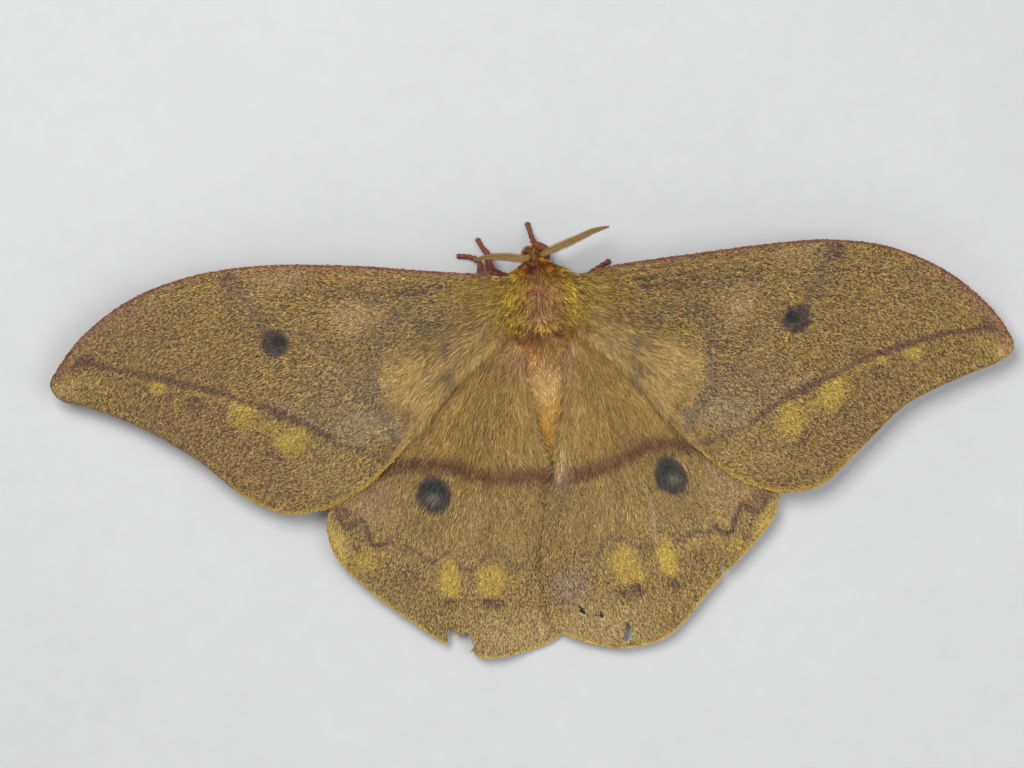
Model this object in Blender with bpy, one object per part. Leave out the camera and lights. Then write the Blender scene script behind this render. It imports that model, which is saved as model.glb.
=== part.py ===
"""A large emperor moth at rest with its four wings spread flat, life size.

The moth stands on six small feet on the ground plane, back upwards and head towards +Y.
Sizes are millimetres. Each finished mesh is scaled to metres when it becomes an object.
Plan positions are measured from the middle of the thorax, and BODY_SHIFT moves the whole
moth so that the origin lies under the middle of its spread.
"""
import math
import random

import bmesh
import bpy
from mathutils import Matrix, Vector
from mathutils.geometry import delaunay_2d_cdt

MILLIMETRE = 0.001
BODY_SHIFT = Vector((2.0, 21.35, 0.0))
GAP = 0.3

# Thickness of the wings and how they hang from the body
WING_HALF = 0.25
EDGE_HEIGHT = 2.6
RIDGE_RISE = 5.6
SLOPE_REACH = 27.0
TAIL_LINE = -58.0
SHOULDER_LINE = -8.0
FORE_LIFT = 0.65
HIND_DROP = 0.65
DRAPE_RISE = 1.4
DRAPE_REACH = 5.0
UNDERLAP_DIP = 1.3

# Raised veins on the upper face: full height and half width at the root
VEIN_HEIGHT = 0.25
VEIN_HALF = 0.5
VEIN_STEP = 4.6
VEIN_TAPER = 0.5

# Spacing of the points on a wing's margin and of those that fill its sheet
MARGIN_STEP = 2.4
FILL_STEP = 4.5

# Body cores: place along the body, half width, half height and height of the middle
THORAX_STATIONS = ((5.3, 2.2, 2.1, 6.3), (4.5, 3.6, 3.1, 6.4), (3.2, 4.9, 3.7, 6.6), (1.0, 6.0, 4.1, 6.7),
                   (-2.5, 6.1, 4.2, 6.7), (-6.0, 5.0, 3.7, 6.2), (-8.2, 4.3, 3.3, 5.6),
                   (-9.3, 3.6, 2.8, 5.3))
ABDOMEN_STATIONS = ((-9.7, 3.7, 2.9, 5.1), (-10.6, 4.4, 3.4, 4.9), (-14.0, 4.7, 3.6, 4.6),
                    (-18.5, 4.3, 3.1, 4.0), (-23.0, 3.5, 2.4, 3.4), (-28.0, 2.3, 1.6, 2.9),
                    (-31.0, 1.1, 0.9, 2.6))
BODY_SIDES = 20
THORAX_STEP = 1.4
ABDOMEN_STEP = 1.8

HEAD_CENTRE = Vector((-0.6, 6.9, 6.0))
HEAD_RADII = Vector((2.1, 2.1, 2.6))
HEAD_SIDES, HEAD_LEVELS = 20, 12
EYE_RADIUS = 1.0
EYE_OFFSET = Vector((1.35, 0.3, -0.6))
EYE_SIDES, EYE_LEVELS = 16, 10


class Wing:
    """The margins of one wing in plan, each a run of points that a smooth line passes through."""

    def __init__(self, *margins, root):
        self.margins = margins
        self.root = root

    def outline(self, step):
        """Return the closed margin, with a corner where two runs meet."""
        loop = []
        for run in self.margins:
            loop += smooth_line(run, step)[:-1]
        loop.append(Vector(self.margins[-1][-1]))
        return loop


FORE_LEFT = Wing(
    ((-3.5, 3.2), (-8.0, 4.2), (-15.5, 5.2), (-30.9, 7.2), (-44.9, 7.9), (-54.4, 6.9),
     (-63.9, 3.9), (-72.1, -1.7), (-76.8, -7.4)),
    ((-76.8, -7.4), (-77.1, -8.9), (-75.8, -10.9), (-71.2, -12.5), (-64.3, -15.6),
     (-55.3, -21.3), (-47.9, -27.8), (-41.9, -30.8), (-35.4, -30.6)),
    ((-35.4, -30.6), (-28.4, -27.0), (-22.2, -21.2), (-12.5, -10.5), (-3.5, -3.2)),
    root=(-5.8, 0.3))
FORE_RIGHT = Wing(
    ((3.5, 3.0), (7.5, 3.8), (12.0, 4.6), (23.6, 5.6), (37.7, 6.6), (45.5, 6.6),
     (54.8, 4.9), (63.9, 0.2), (70.5, -6.3), (73.0, -10.6)),
    ((73.0, -10.6), (72.9, -12.2), (71.1, -13.7), (64.4, -16.0), (55.6, -19.8),
     (48.2, -26.1), (41.6, -31.5), (35.3, -32.3)),
    ((35.3, -32.3), (29.2, -29.9), (23.1, -24.8), (12.5, -11.5), (3.5, -3.2)),
    root=(5.8, 0.3))
HIND_LEFT = Wing(
    ((-3.0, -2.4), (-7.0, -2.8), (-14.0, -5.8), (-24.0, -13.5), (-31.5, -22.5),
     (-35.2, -31.2)),
    ((-35.2, -31.2), (-35.5, -33.9), (-34.3, -38.2), (-29.4, -43.8), (-23.4, -48.8),
     (-18.4, -52.6)),
    ((-18.4, -52.6), (-17.4, -50.2)),
    ((-17.4, -50.2), (-14.3, -51.4)),
    ((-14.3, -51.4), (-13.4, -55.0)),
    ((-13.4, -55.0), (-12.1, -55.4), (-6.6, -54.9), (-0.6, -52.9), (1.6, -50.0)),
    ((1.6, -50.0), (2.2, -42.0), (1.2, -32.0), (0.0, -25.2), (-1.1, -20.8),
     (-2.6, -15.6), (-3.1, -9.5), (-2.0, -5.5)),
    root=(-4.8, -5.0))
HIND_RIGHT = Wing(
    ((3.0, -2.4), (7.0, -2.8), (14.0, -5.8), (23.5, -13.0), (31.0, -22.5),
     (35.2, -32.8)),
    ((35.2, -32.8), (34.2, -36.0), (30.1, -40.7), (24.4, -46.0), (18.5, -52.2),
     (15.3, -54.2), (9.0, -55.0), (2.8, -53.4), (0.2, -52.2)),
    ((0.2, -52.2), (-1.4, -50.4), (-2.2, -44.7), (-2.4, -40.4), (-0.7, -30.4),
     (0.3, -25.2), (1.1, -20.8), (2.6, -15.6), (3.1, -9.5), (2.0, -5.5)),
    root=(4.8, -5.0))

# Main veins of the left wings, from the root outwards; the right wings have the same ones
FORE_VEINS = (
    ((-6.0, 2.4), (-30.0, 5.5), (-48.0, 6.0), (-60.0, 4.4)),
    ((-6.0, 1.2), (-24.0, 3.4), (-38.0, 2.6), (-56.0, 1.2), (-74.6, -6.8)),
    ((-38.0, 2.6), (-41.6, -2.6), (-40.0, -8.2)),
    ((-40.6, -0.4), (-56.0, -4.4), (-71.2, -11.6)),
    ((-41.2, -4.6), (-54.0, -10.2), (-63.4, -15.3)),
    ((-6.0, -0.6), (-20.0, -4.4), (-31.0, -8.2), (-40.0, -8.2), (-49.5, -14.6), (-57.0, -19.4)),
    ((-34.0, -8.6), (-43.0, -17.4), (-50.6, -24.6)),
    ((-26.0, -6.6), (-35.0, -18.0), (-43.4, -29.3)),
    ((-6.0, -2.0), (-17.0, -9.4), (-27.0, -20.0), (-36.0, -29.7)),
)
HIND_VEINS = (
    ((-4.4, -3.6), (-16.0, -10.0), (-27.0, -20.4), (-34.6, -31.0)),
    ((-4.4, -5.0), (-11.0, -11.6), (-16.4, -20.0), (-26.0, -29.4), (-34.6, -35.6)),
    ((-16.4, -20.0), (-18.6, -25.0), (-18.2, -30.0)),
    ((-18.2, -23.0), (-26.4, -34.0), (-31.8, -40.4)),
    ((-18.7, -26.4), (-24.6, -37.0), (-27.8, -44.6)),
    ((-4.2, -7.0), (-9.0, -18.0), (-14.0, -27.4), (-18.2, -30.0), (-21.4, -40.0), (-22.4, -48.6)),
    ((-14.0, -27.4), (-16.0, -40.0), (-16.6, -51.4)),
    ((-10.4, -21.0), (-10.2, -38.0), (-10.4, -54.2)),
    ((-3.8, -9.0), (-4.6, -24.0), (-4.0, -40.0), (-3.4, -53.0)),
)
# Marks that are shared by the left and the right wing: root, tip and hind corner
FORE_ANCHORS = {"left": ((-6.0, 0.0), (-77.1, -8.4), (-35.4, -30.6)),
                "right": ((6.0, 0.0), (73.1, -11.4), (35.3, -32.3))}
HIND_ANCHORS = {"left": ((-5.0, -5.0), (-35.3, -32.5), (-12.1, -55.3)),
                "right": ((5.0, -5.0), (35.2, -33.8), (9.0, -55.0))}

# Feelers: the middle line of each blade in plan and height, from the head outwards
ANTENNA_PATHS = {
    "left": ((-1.2, 7.0, 7.2), (-1.7, 6.5, 8.3), (-2.6, 6.3, 8.6), (-4.1, 6.7, 8.5),
             (-6.0, 6.9, 8.2), (-8.0, 7.0, 7.6), (-10.0, 6.7, 6.9)),
    "right": ((-0.1, 6.9, 7.2), (0.9, 7.0, 8.4), (2.7, 7.7, 8.8), (5.9, 8.9, 8.7),
              (8.6, 10.0, 8.2), (11.2, 10.6, 7.4)),
}
ANTENNA_HALF = 0.62
SHAFT_HALF = 0.28
SHAFT_THICKNESS = 0.5
TOOTH_PITCH = 0.64
TOOTH_LEAN = 0.4
TOOTH_TAPER = 0.5
BARE_STALK = 2.2

# Legs: hip, knee, ankle, and the start and end of the foot, each with its radius
LEG_RADII = (0.9, 0.75, 0.5, 0.42, 0.5)
LEG_PATHS = {
    "leg_fore_left": ((-2.4, 2.6, 3.6), (-7.4, 5.0, 3.5), (-7.9, 7.7, 1.9), (-8.7, 8.9, 0.8),
                      (-9.4, 10.4, 0.3)),
    "leg_fore_right": ((1.9, 2.8, 3.4), (2.1, 6.9, 2.6), (-0.5, 9.1, 1.9), (-1.0, 10.6, 1.0),
                       (-1.4, 12.4, 0.3)),
    "leg_mid_left": ((-3.0, 0.2, 3.4), (-9.4, 1.8, 3.5), (-9.7, 6.2, 1.6), (-10.7, 7.3, 0.7),
                     (-12.4, 7.7, 0.3)),
    "leg_mid_right": ((3.0, 0.2, 3.4), (7.2, -0.4, 3.6), (7.3, 3.1, 1.6), (9.0, 4.3, 0.7),
                      (10.8, 5.3, 0.3)),
    "leg_hind_left": ((-2.8, -3.4, 3.2), (-7.2, -7.6, 3.3), (-9.2, -14.4, 1.9), (-10.4, -18.0, 0.8),
                      (-11.6, -21.0, 0.3)),
    "leg_hind_right": ((2.8, -3.4, 3.2), (7.2, -7.6, 3.3), (9.2, -14.4, 1.9), (10.4, -18.0, 0.8),
                       (11.6, -21.0, 0.3)),
}
LEG_SIDES = 8
LEG_STEP = 0.9
LEG_END = 0.6

# Locks of the long fur on the thorax and the face
LOCK_SEED = 7
LOCK_THICKNESS = 0.6
LOCK_ROW_STEP = 1.3
LOCK_SPACING = 1.35
LOCK_LOWEST = math.radians(49)
COLLAR_LINE = 3.7
COLLAR_LOWEST = math.radians(4)
FUR_BEND_RADIUS = 6.9
# Along a lock: share of its length, lift off the skin and share of its width
LOCK_STATIONS = ((-0.16, -0.75, 0.5), (0.1, 0.2, 0.95), (0.45, 0.45, 1.0), (0.75, 0.4, 0.72),
                 (1.0, 0.3, 0.16))
FACE_LOCK_WIDTH = 0.95
# Rows of face tufts: degrees above level, degrees to each side, how many, and their length
FACE_ROWS = ((66, 60, 4, 1.7), (44, 44, 4, 1.8), (22, 30, 4, 1.7), (0, 26, 4, 1.6), (-22, 26, 4, 1.5),
             (-44, 30, 4, 1.3))


def smooth_step(value):
    """Ease from 0 to 1 with flat ends."""
    value = min(max(value, 0.0), 1.0)
    return value * value * (3.0 - 2.0 * value)


def smooth_line(points, step):
    """Return points about `step` apart along a smooth line through the given ones."""
    knots = [Vector(point) for point in points]
    knots = [2 * knots[0] - knots[1]] + knots + [2 * knots[-1] - knots[-2]]
    fine = [knots[1].copy()]
    for a, b, c, d in zip(knots, knots[1:], knots[2:], knots[3:]):
        t1 = math.sqrt((b - a).length)
        t2 = t1 + math.sqrt((c - b).length)
        t3 = t2 + math.sqrt((d - c).length)
        for index in range(1, 25):
            t = t1 + (t2 - t1) * index / 24
            ab = a + (b - a) * (t / t1)
            bc = b + (c - b) * ((t - t1) / (t2 - t1))
            cd = c + (d - c) * ((t - t2) / (t3 - t2))
            first = ab + (bc - ab) * (t / t2)
            last = bc + (cd - bc) * ((t - t1) / (t3 - t1))
            fine.append(first + (last - first) * ((t - t1) / (t2 - t1)))
    lengths = [0.0]
    for start, end in zip(fine, fine[1:]):
        lengths.append(lengths[-1] + (end - start).length)
    count = max(1, round(lengths[-1] / step))
    line = []
    spot = 0
    for index in range(count + 1):
        target = lengths[-1] * index / count
        while spot < len(fine) - 2 and lengths[spot + 1] < target:
            spot += 1
        share = (target - lengths[spot]) / (lengths[spot + 1] - lengths[spot])
        line.append(fine[spot].lerp(fine[spot + 1], min(max(share, 0.0), 1.0)))
    return line


def tent(x, y):
    """Height of the sheet that all four wings follow, high over the body and low at the margins."""
    along = smooth_step((y - TAIL_LINE) / (SHOULDER_LINE - TAIL_LINE))
    return EDGE_HEIGHT + RIDGE_RISE * along / (1.0 + (x / SLOPE_REACH) ** 2)


def fore_height(x, y):
    """Height of the middle of a forewing."""
    return tent(x, y) + FORE_LIFT


def hind_right_height(x, y):
    """Height of the middle of the right hindwing, which rises where it lies on the abdomen."""
    over_abdomen = smooth_step((-5.0 - y) / 4.0) * smooth_step((y + 46.0) / 16.0)
    return tent(x, y) - HIND_DROP + DRAPE_RISE * over_abdomen * math.exp(-(x / DRAPE_REACH) ** 2)


def hind_left_height(x, y):
    """Height of the middle of the left hindwing, which slips under the right one behind."""
    dip = UNDERLAP_DIP * smooth_step((x + 10.0) / 6.0) * smooth_step((-19.0 - y) / 6.0)
    return hind_right_height(x, y) - dip


WING_HEIGHTS = {
    "forewing_left": fore_height,
    "forewing_right": fore_height,
    "hindwing_left": hind_left_height,
    "hindwing_right": hind_right_height,
}
WINGS = {
    "forewing_left": FORE_LEFT,
    "forewing_right": FORE_RIGHT,
    "hindwing_left": HIND_LEFT,
    "hindwing_right": HIND_RIGHT,
}


def side_map(point, anchors):
    """Carry a plan point of the left wing to the same place on the right wing."""
    root, tip, corner = (Vector(spot) for spot in anchors["left"])
    axes = Matrix((tip - root, corner - root)).transposed().inverted()
    share = axes @ (Vector(point) - root)
    root, tip, corner = (Vector(spot) for spot in anchors["right"])
    return root + (tip - root) * share.x + (corner - root) * share.y


def wing_veins(name):
    """Return the vein lines of one wing, each as points in plan with the share of its length."""
    lines, anchors = (FORE_VEINS, FORE_ANCHORS) if "fore" in name else (HIND_VEINS, HIND_ANCHORS)
    veins = []
    for line in lines:
        if name.endswith("right"):
            line = [side_map(point, anchors) for point in line]
        veins.append(smooth_line(line, VEIN_STEP))
    return veins


def nearest_vein(point, veins):
    """Return how far a plan point lies from the nearest vein, and how far out on it."""
    best = (1e9, 0.0)
    for vein in veins:
        for index, (start, end) in enumerate(zip(vein, vein[1:])):
            along = end - start
            share = min(max((point - start).dot(along) / along.length_squared, 0.0), 1.0)
            distance = (start + along * share - point).length
            best = min(best, (distance, (index + share) / (len(vein) - 1)))
    return best


def vein_rise(point, veins):
    """Height of the raised vein at a plan point, lower towards the margin."""
    distance, outward = nearest_vein(point, veins)
    return VEIN_HEIGHT * (1.0 - VEIN_TAPER * outward) * max(0.0, 1.0 - distance / VEIN_HALF)


def inside(point, loop):
    """Tell whether a plan point lies within a closed loop."""
    hits = 0
    for start, end in zip(loop, loop[1:] + loop[:1]):
        if (start.y > point.y) != (end.y > point.y):
            cross = start.x + (point.y - start.y) * (end.x - start.x) / (end.y - start.y)
            hits += cross > point.x
    return hits % 2 == 1


def to_object(name, mesh_builder):
    """Turn a bmesh into a new object of the scene."""
    mesh = bpy.data.meshes.new(name)
    mesh_builder.to_mesh(mesh)
    mesh_builder.free()
    piece = bpy.data.objects.new(name, mesh)
    bpy.context.scene.collection.objects.link(piece)
    return piece


def loft(bm, rings):
    """Skin rings of equally many points into one closed form."""
    loops = []
    for ring in rings:
        loops.append([bm.verts.new(point) for point in ring])
    count = len(loops[0])
    for near, far in zip(loops, loops[1:]):
        for index in range(count):
            after = (index + 1) % count
            bm.faces.new((near[index], near[after], far[after], far[index]))
    for loop, ring in ((loops[0], rings[0]), (loops[-1], rings[-1])):
        hub = bm.verts.new(sum(ring, Vector()) / count)
        for index in range(count):
            bm.faces.new((loop[index], loop[(index + 1) % count], hub))
    bmesh.ops.recalc_face_normals(bm, faces=bm.faces[:])


def body_rings(stations, step, grow):
    """Return level rings for a rounded trunk along the body, grown evenly where asked."""
    rings = []
    for y, half_width, half_height, z in smooth_line(stations, step):
        ring = []
        for side in range(BODY_SIDES):
            angle = math.tau * side / BODY_SIDES
            ring.append(Vector(((half_width + grow) * math.cos(angle), y,
                                z + (half_height + grow) * math.sin(angle))))
        rings.append(ring)
    for point in rings[0]:
        point.y += grow
    for point in rings[-1]:
        point.y -= grow
    return rings


def trunk(name, stations, step, grow=0.0):
    """Make a closed trunk from its stations."""
    bm = bmesh.new()
    loft(bm, body_rings(stations, step, grow))
    return to_object(name, bm)


def tube(name, path, radii, sides):
    """Make a round limb along a path, with one radius for each given point."""
    points = smooth_line([(*spot, radius) for spot, radius in zip(path, radii)], LEG_STEP)
    rings = []
    for index, point in enumerate(points):
        before = points[max(index - 1, 0)].xyz
        after = points[min(index + 1, len(points) - 1)].xyz
        ahead = (after - before).normalized()
        across = ahead.cross(Vector((0.0, 0.0, 1.0))).normalized()
        up = across.cross(ahead)
        ring = []
        for side in range(sides):
            angle = math.tau * side / sides
            ring.append(point.xyz + across * (point.w * math.cos(angle))
                        + up * (point.w * math.sin(angle)))
        rings.append(ring)
    ahead = (points[-1].xyz - points[-2].xyz).normalized()
    end = points[-1].xyz
    rings.append([end + ((spot - end) + ahead * points[-1].w) * LEG_END for spot in rings[-1]])
    bm = bmesh.new()
    loft(bm, rings)
    return to_object(name, bm)


def apply_modifiers(piece):
    """Give a piece the mesh that its modifiers make, and drop them."""
    graph = bpy.context.evaluated_depsgraph_get()
    mesh = bpy.data.meshes.new_from_object(piece.evaluated_get(graph))
    piece.modifiers.clear()
    piece.data = mesh


def cut(piece, cutter):
    """Take the cutter's space out of a piece, and remove the cutter."""
    tool = piece.modifiers.new("cut", "BOOLEAN")
    tool.operation = "DIFFERENCE"
    tool.solver = "EXACT"
    tool.object = cutter
    apply_modifiers(piece)
    bpy.data.objects.remove(cutter)
    keep_largest(piece)


def keep_largest(piece):
    """Keep only the largest closed surface of a piece."""
    bm = bmesh.new()
    bm.from_mesh(piece.data)
    waiting = set(bm.faces)
    islands = []
    while waiting:
        stack = [waiting.pop()]
        island = []
        while stack:
            face = stack.pop()
            island.append(face)
            for edge in face.edges:
                for neighbour in edge.link_faces:
                    if neighbour in waiting:
                        waiting.remove(neighbour)
                        stack.append(neighbour)
        islands.append(island)
    islands.sort(key=lambda faces: sum(face.calc_area() for face in faces))
    for island in islands[:-1]:
        bmesh.ops.delete(bm, geom=island, context="FACES")
    loose = [vert for vert in bm.verts if not vert.link_faces]
    bmesh.ops.delete(bm, geom=loose, context="VERTS")
    bm.to_mesh(piece.data)
    bm.free()


def fuse(core, extras):
    """Join a core with the many small forms that grow on it, into one closed body."""
    group = bpy.data.collections.new("growth")
    for extra in extras:
        bpy.context.scene.collection.objects.unlink(extra)
        group.objects.link(extra)
    tool = core.modifiers.new("union", "BOOLEAN")
    tool.operation = "UNION"
    tool.solver = "EXACT"
    tool.operand_type = "COLLECTION"
    tool.collection = group
    apply_modifiers(core)
    for extra in extras:
        bpy.data.objects.remove(extra)
    bpy.data.collections.remove(group)
    keep_largest(core)


def lock(root, out, lie, length, width, floor=None):
    """Make one flat tapered lock that leaves the skin at its root and bends along its lie."""
    across = lie.cross(out).normalized()
    rings = []
    for along, lift, share in LOCK_STATIONS:
        reach = along * length
        sag = max(reach, 0.0) ** 2 / (2 * FUR_BEND_RADIUS)
        spot = root + lie * reach + out * (lift - sag)
        edge = across * width * 0.5 * share
        crest = out * LOCK_THICKNESS * 0.5 * max(share, 0.3)
        if floor:
            spot.z = max(spot.z, floor(spot.x, spot.y) + crest.length)
        rings.append([spot + edge, spot + crest, spot - edge, spot - crest])
    bm = bmesh.new()
    loft(bm, rings)
    return to_object("lock", bm)


def above_wings(x, y):
    """Lowest height at which a lock clears every wing."""
    wing = max(fore_height(x, y), hind_right_height(x, y))
    return wing + WING_HALF + VEIN_HEIGHT + GAP


def thorax():
    """Make the thorax: long locks swept back and out over the wing roots, and a seat for the head."""
    piece = trunk("thorax", THORAX_STATIONS, THORAX_STEP)
    draw = random.Random(LOCK_SEED)
    locks = []
    rows = smooth_line(THORAX_STATIONS, LOCK_ROW_STEP)[:-1]
    for row, (y, half_width, half_height, z) in enumerate(rows):
        collar = y > COLLAR_LINE
        lowest = COLLAR_LOWEST if collar else LOCK_LOWEST
        arc = math.pi - 2 * lowest
        count = max(3, round(arc * half_width * 0.8 / LOCK_SPACING))
        for column in range(count):
            angle = lowest + arc * (column + 0.25 + 0.5 * (row % 2)) / count + draw.uniform(-0.05, 0.05)
            aside = math.cos(angle)
            out = Vector((aside / half_width, 0.0, math.sin(angle) / half_height)).normalized()
            spot = Vector((half_width * aside, y + draw.uniform(-0.25, 0.25),
                           z + half_height * math.sin(angle)))
            if collar:
                lie = Vector((1.2 * aside, 0.7 * abs(aside) - 0.6 * (1 - abs(aside)), 0.0))
                length = draw.uniform(1.9, 2.5)
                floor = None
            else:
                lie = Vector((aside * (1.2 + 1.6 * abs(aside)) + draw.uniform(-0.15, 0.15), -1.0, 0.0))
                length = draw.uniform(3.0, 4.0)
                floor = above_wings
            lie = (lie - out * lie.dot(out)).normalized()
            locks.append(lock(spot, out, lie, length, draw.uniform(1.25, 1.6), floor))
    fuse(piece, locks)
    cut(piece, head_cutter())
    return piece


def face_locks():
    """Make the tufts of the crown and face, swept forwards and down over the mouth."""
    draw = random.Random(LOCK_SEED + 1)
    locks = []
    for tilt, spread, count, length in FACE_ROWS:
        for column in range(count):
            turn = math.radians(-spread + 2 * spread * column / (count - 1) + draw.uniform(-4, 4))
            rise = math.radians(tilt)
            place = Vector((math.sin(turn) * math.cos(rise), math.cos(turn) * math.cos(rise),
                            math.sin(rise)))
            spot = HEAD_CENTRE + Vector(a * b for a, b in zip(place, HEAD_RADII))
            out = Vector(a / b for a, b in zip(place, HEAD_RADII)).normalized()
            lie = Vector((0.6 * math.sin(turn), 0.9, 0.15 if tilt > 30 else -0.9))
            lie = (lie - out * lie.dot(out)).normalized()
            locks.append(lock(spot, out, lie, length * draw.uniform(0.9, 1.1), FACE_LOCK_WIDTH))
    return locks


def flatten_foot(piece):
    """Cut a leg level with the ground, which leaves the flat that the foot stands on."""
    bm = bmesh.new()
    bm.from_mesh(piece.data)
    everything = bm.verts[:] + bm.edges[:] + bm.faces[:]
    bmesh.ops.bisect_plane(bm, geom=everything, plane_co=(0, 0, 0), plane_no=(0, 0, 1),
                           clear_inner=True)
    rim = [edge for edge in bm.edges if edge.is_boundary]
    bmesh.ops.contextual_create(bm, geom=rim)
    bmesh.ops.recalc_face_normals(bm, faces=bm.faces[:])
    bm.to_mesh(piece.data)
    bm.free()


def wing(name):
    """Make one wing: a sheet of triangles, extruded upwards so that both faces are alike."""
    outline = WINGS[name].outline(MARGIN_STEP)
    height = WING_HEIGHTS[name]
    veins = wing_veins(name)
    points = list(outline)
    edges = [(index, (index + 1) % len(outline)) for index in range(len(outline))]
    for vein in veins:
        for side in (-VEIN_HALF, 0.0, VEIN_HALF):
            others = [other for other in veins if other is not vein]
            linked = False
            for index, spot in enumerate(vein):
                ahead = (vein[min(index + 1, len(vein) - 1)] - vein[max(index - 1, 0)]).normalized()
                beside = spot + Vector((-ahead.y, ahead.x)) * side
                crowded = side and nearest_vein(beside, others)[0] < 1.5 * VEIN_HALF
                near_rim = min((beside - p).length for p in outline) < VEIN_HALF
                if crowded or near_rim or not inside(beside, outline):
                    linked = False
                    continue
                points.append(beside)
                if linked:
                    edges.append((len(points) - 2, len(points) - 1))
                linked = True
    low = Vector((min(p.x for p in outline), min(p.y for p in outline)))
    high = Vector((max(p.x for p in outline), max(p.y for p in outline)))
    for row in range(int((high.y - low.y) / FILL_STEP) + 1):
        for column in range(int((high.x - low.x) / FILL_STEP) + 1):
            spot = low + Vector((column + 0.5 * (row % 2), row)) * FILL_STEP
            if inside(spot, outline) and min((spot - p).length for p in points) > 0.5 * FILL_STEP:
                points.append(spot)
    rim = list(range(len(outline)))
    verts, _, faces, *_ = delaunay_2d_cdt(points, edges, [rim], 1, 1e-4)
    bm = bmesh.new()
    sheet = [bm.verts.new((p.x, p.y, height(p.x, p.y) - WING_HALF)) for p in verts]
    for face in faces:
        bm.faces.new([sheet[index] for index in face])
    raised = bmesh.ops.extrude_face_region(bm, geom=bm.faces[:])["geom"]
    for vert in raised:
        if isinstance(vert, bmesh.types.BMVert):
            vert.co.z += 2 * WING_HALF + vein_rise(vert.co.xy, veins)
    bmesh.ops.recalc_face_normals(bm, faces=bm.faces[:])
    bmesh.ops.triangulate(bm, faces=bm.faces[:])
    piece = to_object(name, bm)
    cut(piece, trunk("root_cutter", THORAX_STATIONS, THORAX_STEP, GAP))
    return piece


def ball(name, centre, radii, rounds, levels):
    """Make a rounded form of the given radii."""
    bm = bmesh.new()
    bmesh.ops.create_uvsphere(bm, u_segments=rounds, v_segments=levels, radius=1.0)
    bmesh.ops.scale(bm, verts=bm.verts[:], vec=radii)
    bmesh.ops.translate(bm, verts=bm.verts[:], vec=centre)
    return to_object(name, bm)


def head_cutter():
    """Make the space that the head takes up, with the gap round it."""
    return ball("head_cutter", HEAD_CENTRE, HEAD_RADII + Vector([GAP] * 3), HEAD_SIDES, HEAD_LEVELS)


def eye_centre(sign):
    """Middle of the eye on one side of the head."""
    return HEAD_CENTRE + Vector((EYE_OFFSET.x * sign, EYE_OFFSET.y, EYE_OFFSET.z))


def head():
    """Make the head with its face tufts and a socket for each eye."""
    piece = ball("head", HEAD_CENTRE, HEAD_RADII, HEAD_SIDES, HEAD_LEVELS)
    fuse(piece, face_locks())
    for sign in (-1, 1):
        socket = Vector([EYE_RADIUS + GAP] * 3)
        cut(piece, ball("socket", eye_centre(sign), socket, EYE_SIDES, EYE_LEVELS))
    return piece


def antenna(side):
    """Make one feeler, a flat shaft whose edges carry a comb of teeth that lean outwards."""
    line = smooth_line(ANTENNA_PATHS[side], TOOTH_PITCH / 2)
    last = len(line) - 1
    rings = []
    frames = []
    for index, point in enumerate(line):
        ahead = (line[min(index + 1, last)] - line[max(index - 1, 0)]).normalized()
        across = ahead.cross(Vector((0.0, 0.0, 1.0))).normalized()
        slim = min(1.0, 0.35 + 0.12 * (last - index))
        edge = across * SHAFT_HALF * slim
        crest = across.cross(ahead) * SHAFT_THICKNESS * 0.5 * slim
        rings.append([point + edge - crest * 0.5, point + edge + crest * 0.5, point + crest,
                      point - edge + crest * 0.5, point - edge - crest * 0.5, point - crest])
        frames.append((ahead, edge, slim))
    bm = bmesh.new()
    loft(bm, rings)
    for index in range(round(2 * BARE_STALK / TOOTH_PITCH), last, 2):
        ahead, edge, slim = frames[index]
        for sign in (-1, 1):
            place = (line[index] + line[index + 1]) / 2 + edge * sign
            wall = min(bm.faces, key=lambda face: (face.calc_center_median() - place).length)
            tooth = bmesh.ops.extrude_discrete_faces(bm, faces=[wall])["faces"][0]
            middle = tooth.calc_center_median()
            reach = edge.normalized() * sign * (ANTENNA_HALF - SHAFT_HALF) * slim
            for vert in tooth.verts:
                vert.co = middle + (vert.co - middle) * TOOTH_TAPER + reach + ahead * TOOTH_LEAN
    bmesh.ops.recalc_face_normals(bm, faces=bm.faces[:])
    piece = to_object("antenna_" + side, bm)
    cut(piece, head_cutter())
    return piece


def leg(name):
    """Make one leg from hip to foot, cut clear of the thorax and level with the ground."""
    piece = tube(name, LEG_PATHS[name], LEG_RADII, LEG_SIDES)
    cut(piece, trunk("hip_cutter", THORAX_STATIONS, THORAX_STEP, GAP))
    flatten_foot(piece)
    return piece


def finish(piece, origin, material, parent):
    """Scale a piece to metres, put its origin where it grows from, and give it its finish."""
    origin = Vector(origin)
    piece.data.transform(Matrix.Translation(-origin))
    piece.data.transform(Matrix.Scale(MILLIMETRE, 4))
    piece.data.shade_smooth()
    piece.data.set_sharp_from_angle(angle=math.radians(50))
    piece.location = (origin + BODY_SHIFT) * MILLIMETRE
    piece.data.materials.clear()
    piece.data.materials.append(material)
    piece.parent = parent


def finish_material(name, colour, roughness):
    """Make a plain surface finish."""
    material = bpy.data.materials.new(name)
    material.use_nodes = True
    shader = material.node_tree.nodes["Principled BSDF"]
    shader.inputs["Base Color"].default_value = (*colour, 1.0)
    shader.inputs["Roughness"].default_value = roughness
    shader.inputs["Metallic"].default_value = 0.0
    return material


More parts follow.
